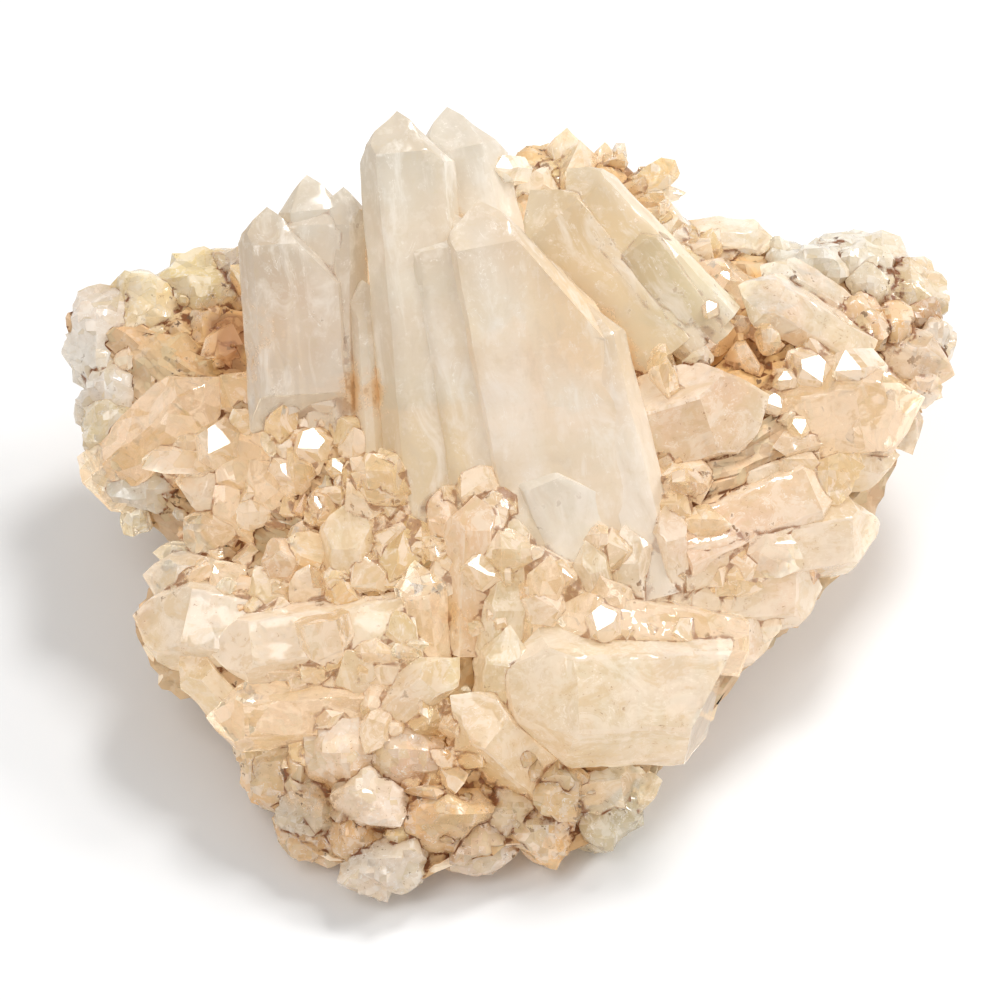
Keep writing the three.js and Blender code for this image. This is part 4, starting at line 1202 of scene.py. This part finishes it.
def finish_mesh(mesh):
    """The joined skin with its values: corners get own coordinates and tint, points the rest."""
    mesh.materials.clear()
    points, corners, totals, body = read_mesh(mesh)
    owner = np.repeat(body, totals)
    lowest, highest = np.full(len(points), MOST_BODIES), np.full(len(points), -1)
    np.minimum.at(lowest, corners, owner)
    np.maximum.at(highest, corners, owner)
    gap = gaps(points, lowest, solid_bodies(), bed_sky)
    gap[(lowest != highest) & (highest > FUSED_BLADES)] = 0
    # Closeness to another body, for the painted shade in nooks.
    nook_shade_and_stain = np.exp(-gap / NOOK)[corners]
    stain = stain_at(points)
    rusty = np.maximum(s_curve(rough(points, 9, 2, 87), 0.1, 0.45), 0.9 * stain.clip(0, 1))
    width = WIDE_SEAM[0] + (WIDE_SEAM[1] - WIDE_SEAM[0]) * rusty
    facet, nearness, drawn = (np.repeat(values, totals, 0) for values in facet_normals(mesh, body))
    place = points[corners]
    own = np.einsum("cax,cx->ca", book["axes"][owner], place - book["origin"][owner]) + book["shift"][owner, None]
    tint = skin_tint(owner, place, own, nook_shade_and_stain, stain[corners], drawn, nearness)
    own = (own + FACET_SHIFT[book["finish"][owner], None] * facet) * MM
    low, high = (np.array(corner) for corner in CAD_BOX)
    mesh.vertices.foreach_set("co", to_part(points).clip(low, high).astype(np.float32).ravel())
    for key, kind, domain, field, data in (
        ("own", "FLOAT_VECTOR", "CORNER", "vector", own),
        ("tint", "FLOAT_COLOR", "CORNER", "color", np.column_stack([tint, np.ones(len(tint))])),
        ("seam", "FLOAT", "POINT", "value", np.minimum(gap / width, SEAM_FAR)),
        ("stain", "FLOAT", "POINT", "value", stain),
    ):
        mesh.attributes.new(key, kind, domain).data.foreach_set(field, data.astype(np.float32).ravel())
    mesh.attributes.remove(mesh.attributes["body"])
    mesh.polygons.foreach_set("material_index", book["finish"][body].astype(np.int32))
    mesh.set_sharp_from_angle(angle=math.radians(SHARP_ANGLE))
    mesh.update()
    print("triangles", int((totals - 2).sum()))


cluster_mesh = join_bodies([block for group in blocks.values() for block in group])
cluster_mesh.name = "cluster"
finish_mesh(cluster_mesh)
cluster = bpy.data.objects.new("cluster", cluster_mesh)
bpy.context.scene.collection.objects.link(cluster)

# %% [markdown]
# ## Node helpers
# A finish is easier to read when each node is one call: `node` makes one and sets its plain values,
# `calc` does arithmetic on numbers or on other nodes' outputs, and `blend` mixes two colours.

# %% Nodes by one call each
def wire(tree, source, slot):
    """A plain value set on a socket, or another node's output linked to it."""
    if isinstance(source, bpy.types.NodeSocket):
        tree.links.new(source, slot)
    else:
        slot.default_value = source


def node(tree, kind, **values):
    """A node with its settings, and its inputs given as plain values or other nodes' outputs."""
    made = tree.nodes.new("ShaderNode" + kind)
    inputs = {slot.name.replace(" ", "_"): slot for slot in reversed(made.inputs)}
    for key, value in values.items():
        if key in inputs:
            wire(tree, value, inputs[key])
        else:
            setattr(made, key, value)
    return made


def vector(tree, operation, *terms, kind="VectorMath"):
    """A Vector Math node's outputs, its terms given in order."""
    made = node(tree, kind, operation=operation)
    for slot, term in zip(made.inputs, terms):
        wire(tree, term, slot)
    return made.outputs


def calc(tree, operation, *terms):
    """A Math node's output, its terms given in order."""
    return vector(tree, operation, *terms, kind="Math")[0]


def slope(tree, value, start, end, low=0.0, high=1.0):
    """A value's way from start to end as an S-curve from low to high."""
    made = node(tree, "MapRange", interpolation_type="SMOOTHSTEP", Value=value)
    for slot, number in zip(made.inputs[1:5], (start, end, low, high)):
        slot.default_value = number
    return made.outputs[0]


def blend(tree, share, first, second):
    """Two colours mixed by a share from 0 to 1."""
    made = node(tree, "Mix", data_type="RGBA")
    for slot, source in zip((made.inputs[0], made.inputs[6], made.inputs[7]), (share, first, second)):
        wire(tree, source, slot)
    return made.outputs[2]


def noise(tree, place, scale, detail, roughness, distortion=0.0, stretch=None):
    """Noise over a place, which a Mapping node stretches first where that is asked for."""
    if stretch:
        place = node(tree, "Mapping", Vector=place, Scale=stretch).outputs[0]
    values = {"Scale": scale, "Detail": detail, "Roughness": roughness, "Distortion": distortion}
    return node(tree, "TexNoise", Vector=place, **values).outputs["Fac"]


# %% Materials and groups
def new_material(name):
    """A material with a Principled shader and its output, and the node tree to add to."""
    material = bpy.data.materials.new(name)
    material.use_nodes = True
    tree = material.node_tree
    return material, tree, tree.nodes["Principled BSDF"]


def new_group(name, inputs, outputs):
    """A shader node group with its sockets, and its input and output nodes."""
    tree = bpy.data.node_groups.new(name, "ShaderNodeTree")
    for direction, sockets in (("INPUT", inputs), ("OUTPUT", outputs)):
        for label, kind in sockets.items():
            tree.interface.new_socket(label, in_out=direction, socket_type="NodeSocket" + kind)
    return tree, tree.nodes.new("NodeGroupInput").outputs, tree.nodes.new("NodeGroupOutput").inputs


def give(tree, put, **results):
    """A group's results linked to the sockets of its output node."""
    for key, source in results.items():
        tree.links.new(source, put[key])


def use_group(tree, group, **values):
    """A node group in a tree, with its inputs wired."""
    made = tree.nodes.new("ShaderNodeGroup")
    made.node_tree = group
    for key, value in values.items():
        wire(tree, value, made.inputs[key])
    return made.outputs

# %% [markdown]
# ## Iron
# Rust stands in the seams as broken thin lines, and ochre spreads in the hollows as ragged patches.
# Both are masks: one fine noise breaks the seam's line and frays the stain's edge.

# %% The iron group
iron, inside, put = new_group(
    "iron", {"Place": "Vector", "Gap": "Float", "Deep": "Float"},
    {"Seam": "Float", "Stain": "Float", "Fine": "Float", "Speck": "Float"},
)
fine = noise(iron, inside["Place"], 420.0, 4.0, 0.65)
line = slope(iron, inside["Gap"], 1.0, 0.3)
seam = calc(iron, "MULTIPLY", line, slope(iron, fine, 0.42, 0.54))
frayed = calc(iron, "ADD", inside["Deep"], calc(iron, "MULTIPLY_ADD", fine, 1.6, -0.8))
stain = slope(iron, frayed, 0.25, 1.1)
near = calc(iron, "MAXIMUM", slope(iron, inside["Gap"], 7.0, 1.0), slope(iron, inside["Deep"], 0.3, 0.9))
speck = calc(iron, "MULTIPLY", near, slope(iron, fine, 0.615, 0.65))
give(iron, put, Seam=seam, Stain=stain, Fine=fine, Speck=speck)
print("iron has", len(iron.nodes), "nodes")

# %% [markdown]
# ## What shows inside
# A clear crystal shows sharp bright and dark patches: bits of its far walls, of veils and of the stained
# bed, cut up by its facets. Here they are painted on the surface. Noise says where it is painted dark
# honey, a painted shade, and where it is painted bright, a painted light, and cracks run as thin lines
# where that noise crosses a value. In a mosaic of cells some are painted quite white, painted glints,
# and some dark, painted facet shade, with straight borders. Each cell also leans its own way, so its
# height is the way from the cell's middle times a lean drawn for that cell.

# %% The glass and mosaic groups
def thin_line(tree, level, middle, width):
    """A thin curved line where noise crosses a value."""
    return slope(tree, calc(tree, "ABSOLUTE", calc(tree, "SUBTRACT", level, middle)), width, 0.4 * width)


glass, inside, put = new_group(
    "glass", {"Own": "Vector"}, {"Bright": "Float", "Dark": "Float", "Crack": "Float", "Rusty": "Float"}
)
# Its bright and dark patches are painted light and painted shade, as seen through the facets.
level = noise(glass, inside["Own"], 190.0, 4.0, 0.62, 1.2, (1.0, 1.0, 0.6))
give(
    glass, put, Bright=slope(glass, level, 0.53, 0.6), Dark=slope(glass, level, 0.46, 0.38),
    Crack=thin_line(glass, level, 0.515, 0.009), Rusty=thin_line(glass, level, 0.46, 0.006),
)

mosaic, inside, put = new_group(
    "mosaic", {"Own": "Vector", "Cells": "Float"}, {"Height": "Float", "White": "Float", "Brown": "Float"}
)
# White cells are painted glints, and dark cells painted facet shade.
cells = node(mosaic, "TexVoronoi", Vector=inside["Own"], Scale=inside["Cells"]).outputs
lean = vector(mosaic, "SUBTRACT", cells["Color"], (0.5, 0.5, 0.5))[0]
away = vector(mosaic, "SUBTRACT", inside["Own"], cells["Position"])[0]
height = vector(mosaic, "DOT_PRODUCT", away, lean)["Value"]
drawn = node(mosaic, "SeparateColor", Color=cells["Color"]).outputs[1]
give(mosaic, put, Height=height, White=slope(mosaic, drawn, 0.62, 0.95), Brown=slope(mosaic, drawn, 0.34, 0.06))
print("glass has", len(glass.nodes), "nodes, mosaic", len(mosaic.nodes))

# %% [markdown]
# ## Growth lines
# Fine lines run across the prism faces, and milky veils hang along the crystal as soft streaks.

# %% The growth and streak groups
growth, inside, put = new_group("growth", {"Own": "Vector"}, {"Height": "Float"})
give(growth, put, Height=noise(growth, inside["Own"], 420.0, 2.0, 0.5, 0.0, (0.12, 0.12, 1.6)))

streaks, inside, put = new_group(
    "streaks", {"Own": "Vector"}, {"Veil": "Float", "Clear": "Float", "Thread": "Float"}
)
level = noise(streaks, inside["Own"], 190.0, 4.0, 0.64, 0.8, (1.0, 1.0, 0.42))
thread = thin_line(streaks, level, 0.54, 0.005)
give(streaks, put, Thread=thread, Veil=slope(streaks, level, 0.5, 0.72), Clear=slope(streaks, level, 0.48, 0.3))
print("growth has", len(growth.nodes), "nodes, streaks", len(streaks.nodes))

# %% [markdown]
# ## Quartz
# One function makes every finish of the cluster. Clear quartz is mostly glass, milky quartz lets
# light in and scatters it, and the broken bed is dull. Light that has wandered through the stone
# fills it from within, so each wall glows a little on its inner side, which only shows through glass.
# That side is also paler than the outer one, or its colour would grow with each time light meets it.

# %% Quartz finishes
OCHRE = (0.76, 0.45, 0.17, 1)
BROWN = (0.42, 0.21, 0.09, 1)
RUST = (0.20, 0.065, 0.02, 1)
DARK = (0.16, 0.09, 0.05, 1)
# A dark honey for the painted shade of glass and mosaic, and for fine wisps.
HONEY_SHADE_AND_WISP = (0.66, 0.54, 0.33, 1)
GREYISH = (0.66, 0.57, 0.46, 1)
WHITE = (0.97, 0.95, 0.90, 1)
GLOW = (0.86, 0.79, 0.66, 1)
GLOOM = (0.28, 0.21, 0.12, 1)
BLACK = (0, 0, 0, 1)
QUARTZ_IOR = 1.544
LINE_HEIGHT = 0.0001
GRIT_HEIGHT = 0.0003


def quartz(name, clearness, roughness, inner_light, rusty, streaky=0, glassy=0, lined=0, broken=0, cells=0):
    """Quartz: how much glass, how rough, its inner light, how strong its rust, streaks and the inner
    patches of painted light and shade show, how high its growth lines are, how far and how finely its
    surface breaks up."""
    material, tree, shader = new_material(name)
    values = {key: node(tree, "Attribute", attribute_name=key).outputs for key in ("tint", "seam", "own", "stain")}

    def coat(mask, share, other):
        """The colour so far with another one over it: its share is a mask times a strength."""
        return blend(tree, calc(tree, "MULTIPLY", mask, share), colour, other)

    place = node(tree, "TexCoord").outputs["Object"]
    own = values["own"]["Vector"]
    masks = use_group(tree, iron, Place=place, Gap=values["seam"]["Fac"], Deep=values["stain"]["Fac"])
    colour, relief = values["tint"]["Color"], 0.0
    if streaky:
        hung = use_group(tree, streaks, Own=own)
        colour = coat(hung["Clear"], 0.5 * streaky, GREYISH)
        colour = coat(hung["Veil"], 0.8 * streaky, WHITE)
        thread = calc(tree, "MULTIPLY", hung["Thread"], slope(tree, masks["Fine"], 0.46, 0.58, 0.0, streaky))
        glint = slope(tree, masks["Fine"], 0.68, 0.72, 0.0, streaky)
        colour = blend(tree, calc(tree, "MAXIMUM", thread, glint), colour, WHITE)
    if glassy:
        shown = use_group(tree, glass, Own=own)
        # Painted shade and painted light, as seen through the facets.
        colour = coat(shown["Dark"], 0.75 * glassy, HONEY_SHADE_AND_WISP)
        colour = coat(shown["Bright"], 0.85 * glassy, WHITE)
        colour = coat(shown["Crack"], slope(tree, masks["Fine"], 0.45, 0.55), WHITE)
        rusted = calc(tree, "MULTIPLY", shown["Rusty"], slope(tree, masks["Fine"], 0.47, 0.38))
        colour = coat(rusted, 0.8 * rusty, RUST)
    wisps = 0.3 if glassy > 0.5 else 0.15
    colour = blend(tree, slope(tree, masks["Fine"], 0.44, 0.32, 0.0, wisps), colour, HONEY_SHADE_AND_WISP)
    colour = blend(tree, slope(tree, masks["Fine"], 0.52, 0.62, 0.0, wisps), colour, WHITE)
    if broken:
        planes = use_group(tree, mosaic, Own=own, Cells=cells)
        # Painted facet shade and painted glints in the mosaic's cells.
        colour = coat(planes["Brown"], 0.5, HONEY_SHADE_AND_WISP)
        colour = coat(planes["White"], 0.75 * clearness, WHITE)
        relief = calc(tree, "MULTIPLY", planes["Height"], broken)
    if lined:
        ridges = use_group(tree, growth, Own=own)["Height"]
        relief = calc(tree, "MULTIPLY_ADD", ridges, lined * LINE_HEIGHT, relief)
    colour = coat(masks["Stain"], 0.8, OCHRE)
    colour = blend(tree, slope(tree, values["stain"]["Fac"], 0.9, 1.5), colour, BROWN)
    colour = coat(masks["Seam"], rusty, RUST)
    colour = coat(masks["Speck"], rusty, DARK)
    behind = node(tree, "NewGeometry").outputs["Backfacing"]
    glow = blend(tree, 0.5 + 0.4 * clearness, colour, GLOW)
    tree.links.new(blend(tree, behind, colour, glow), shader.inputs["Base Color"])
    if glassy:
        # The inner glow is painted darker under the painted shade.
        glow = blend(tree, calc(tree, "MULTIPLY", shown["Dark"], 0.9), glow, GLOOM)
    tree.links.new(blend(tree, behind, BLACK, glow), shader.inputs["Emission Color"])
    shader.inputs["Emission Strength"].default_value = inner_light
    dull = calc(tree, "MULTIPLY_ADD", calc(tree, "MAXIMUM", masks["Seam"], masks["Stain"]), 0.4, roughness)
    tree.links.new(dull, shader.inputs["Roughness"])
    shader.inputs["Transmission Weight"].default_value = clearness
    shader.inputs["IOR"].default_value = QUARTZ_IOR
    if not clearness:
        relief = calc(tree, "MULTIPLY_ADD", masks["Fine"], GRIT_HEIGHT, relief)
        shader.inputs["Specular IOR Level"].default_value = 0.3
    bump = node(tree, "Bump", Strength=1.0, Distance=1.0, Height=relief)
    tree.links.new(bump.outputs[0], shader.inputs["Normal"])
    return material


FINISHES = {
    "blade": quartz("milky_quartz", 0.32, 0.13, 0.32, rusty=0.4, streaky=0.7, lined=0.4),
    "clear": quartz("clear_quartz", 0.8, 0.02, 0.36, rusty=0.8, glassy=1, broken=0.7, cells=190),
    "cloudy": quartz("cloudy_quartz", 0.55, 0.05, 0.34, rusty=0.9, streaky=0.4, glassy=0.55, lined=0.6),
    "druse": quartz("druse_quartz", 0.65, 0.03, 0.31, rusty=0.8, glassy=1),
    "shard": quartz("shard_quartz", 0.65, 0.03, 0.31, rusty=0.8, glassy=1, broken=0.8, cells=230),
    "worn": quartz("worn_quartz", 0.25, 0.12, 0.30, rusty=1, glassy=0.4, broken=0.5, cells=330),
    "bed": quartz("stained_bed", 0, 0.55, 0.35, rusty=0.95, broken=0.6, cells=400),
}
for name in FINISH_NAMES:
    cluster_mesh.materials.append(FINISHES[name])
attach(cluster, "root")
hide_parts("quartz_cluster")
print("finishes", [material.name for material in cluster_mesh.materials])

# %% [markdown]
# ## Floor, light and camera
# A white paper floor and an even white world give the pale studio. A small bright overhead lamp makes
# single facets flash, a key lamp from the right throws the soft shadow to the left, and a wide faint
# lamp on the left fills it.

# %% The floor
FLOOR_DROP = -0.0002
FLOOR_CORNERS = ((-4, -4), (4, -4), (4, 4), (-4, 4))
floor_mesh = bpy.data.meshes.new("floor")
floor_mesh.from_pydata([(x, y, FLOOR_DROP) for x, y in FLOOR_CORNERS], [], [(0, 1, 2, 3)])
floor = bpy.data.objects.new("floor", floor_mesh)
bpy.context.scene.collection.objects.link(floor)
paper, tree, shader = new_material("white_paper")
shader.inputs["Base Color"].default_value = (0.9, 0.9, 0.9, 1)
shader.inputs["Roughness"].default_value = 0.9
floor.data.materials.append(paper)
print("the floor lies at", FLOOR_DROP)

# %% The lamps
CLUSTER_MIDDLE = Vector((0, 0, 0.04))


def soft_light(name, place, size, power):
    """A square area light that faces the cluster's middle."""
    lamp = bpy.data.lights.new(name, "AREA")
    lamp.size = size
    lamp.energy = power
    holder = bpy.data.objects.new(name, lamp)
    holder.location = place
    holder.rotation_euler = (CLUSTER_MIDDLE - Vector(place)).to_track_quat("-Z", "Y").to_euler()
    bpy.context.scene.collection.objects.link(holder)


soft_light("overhead", OVERHEAD, 0.3, 6.4)
soft_light("key", (0.95, 0.25, 0.80), 0.3, 4.8)
soft_light("left", (-0.35, -0.40, 1.05), 0.5, 2.8)
world = bpy.data.worlds.new("studio")
world.use_nodes = True
world.node_tree.nodes["Background"].inputs[0].default_value = (1, 1, 1, 1)
world.node_tree.nodes["Background"].inputs[1].default_value = 0.5
bpy.context.scene.world = world
bpy.context.scene.view_settings.view_transform = "Standard"
print("lamps", [lamp.name for lamp in bpy.data.lights])

# %% [markdown]
# ## The camera
# It stands on the face's z axis, where the crystals were placed from, so it looks down by 50 degrees.
# A long lens keeps the blades' sides nearly parallel, as in a picture taken from arm's length.

# %% The camera
camera = bpy.data.cameras.new("camera")
camera.lens = 150
holder = bpy.data.objects.new("camera", camera)
holder.location = (0, -math.sin(FACE_TILT) * EYE * MM, (FACE_HEIGHT + math.cos(FACE_TILT) * EYE) * MM)
holder.rotation_euler = (FACE_TILT, 0, 0)
bpy.context.scene.collection.objects.link(holder)
bpy.context.scene.camera = holder
print("the camera stands at", [round(value, 3) for value in holder.location])
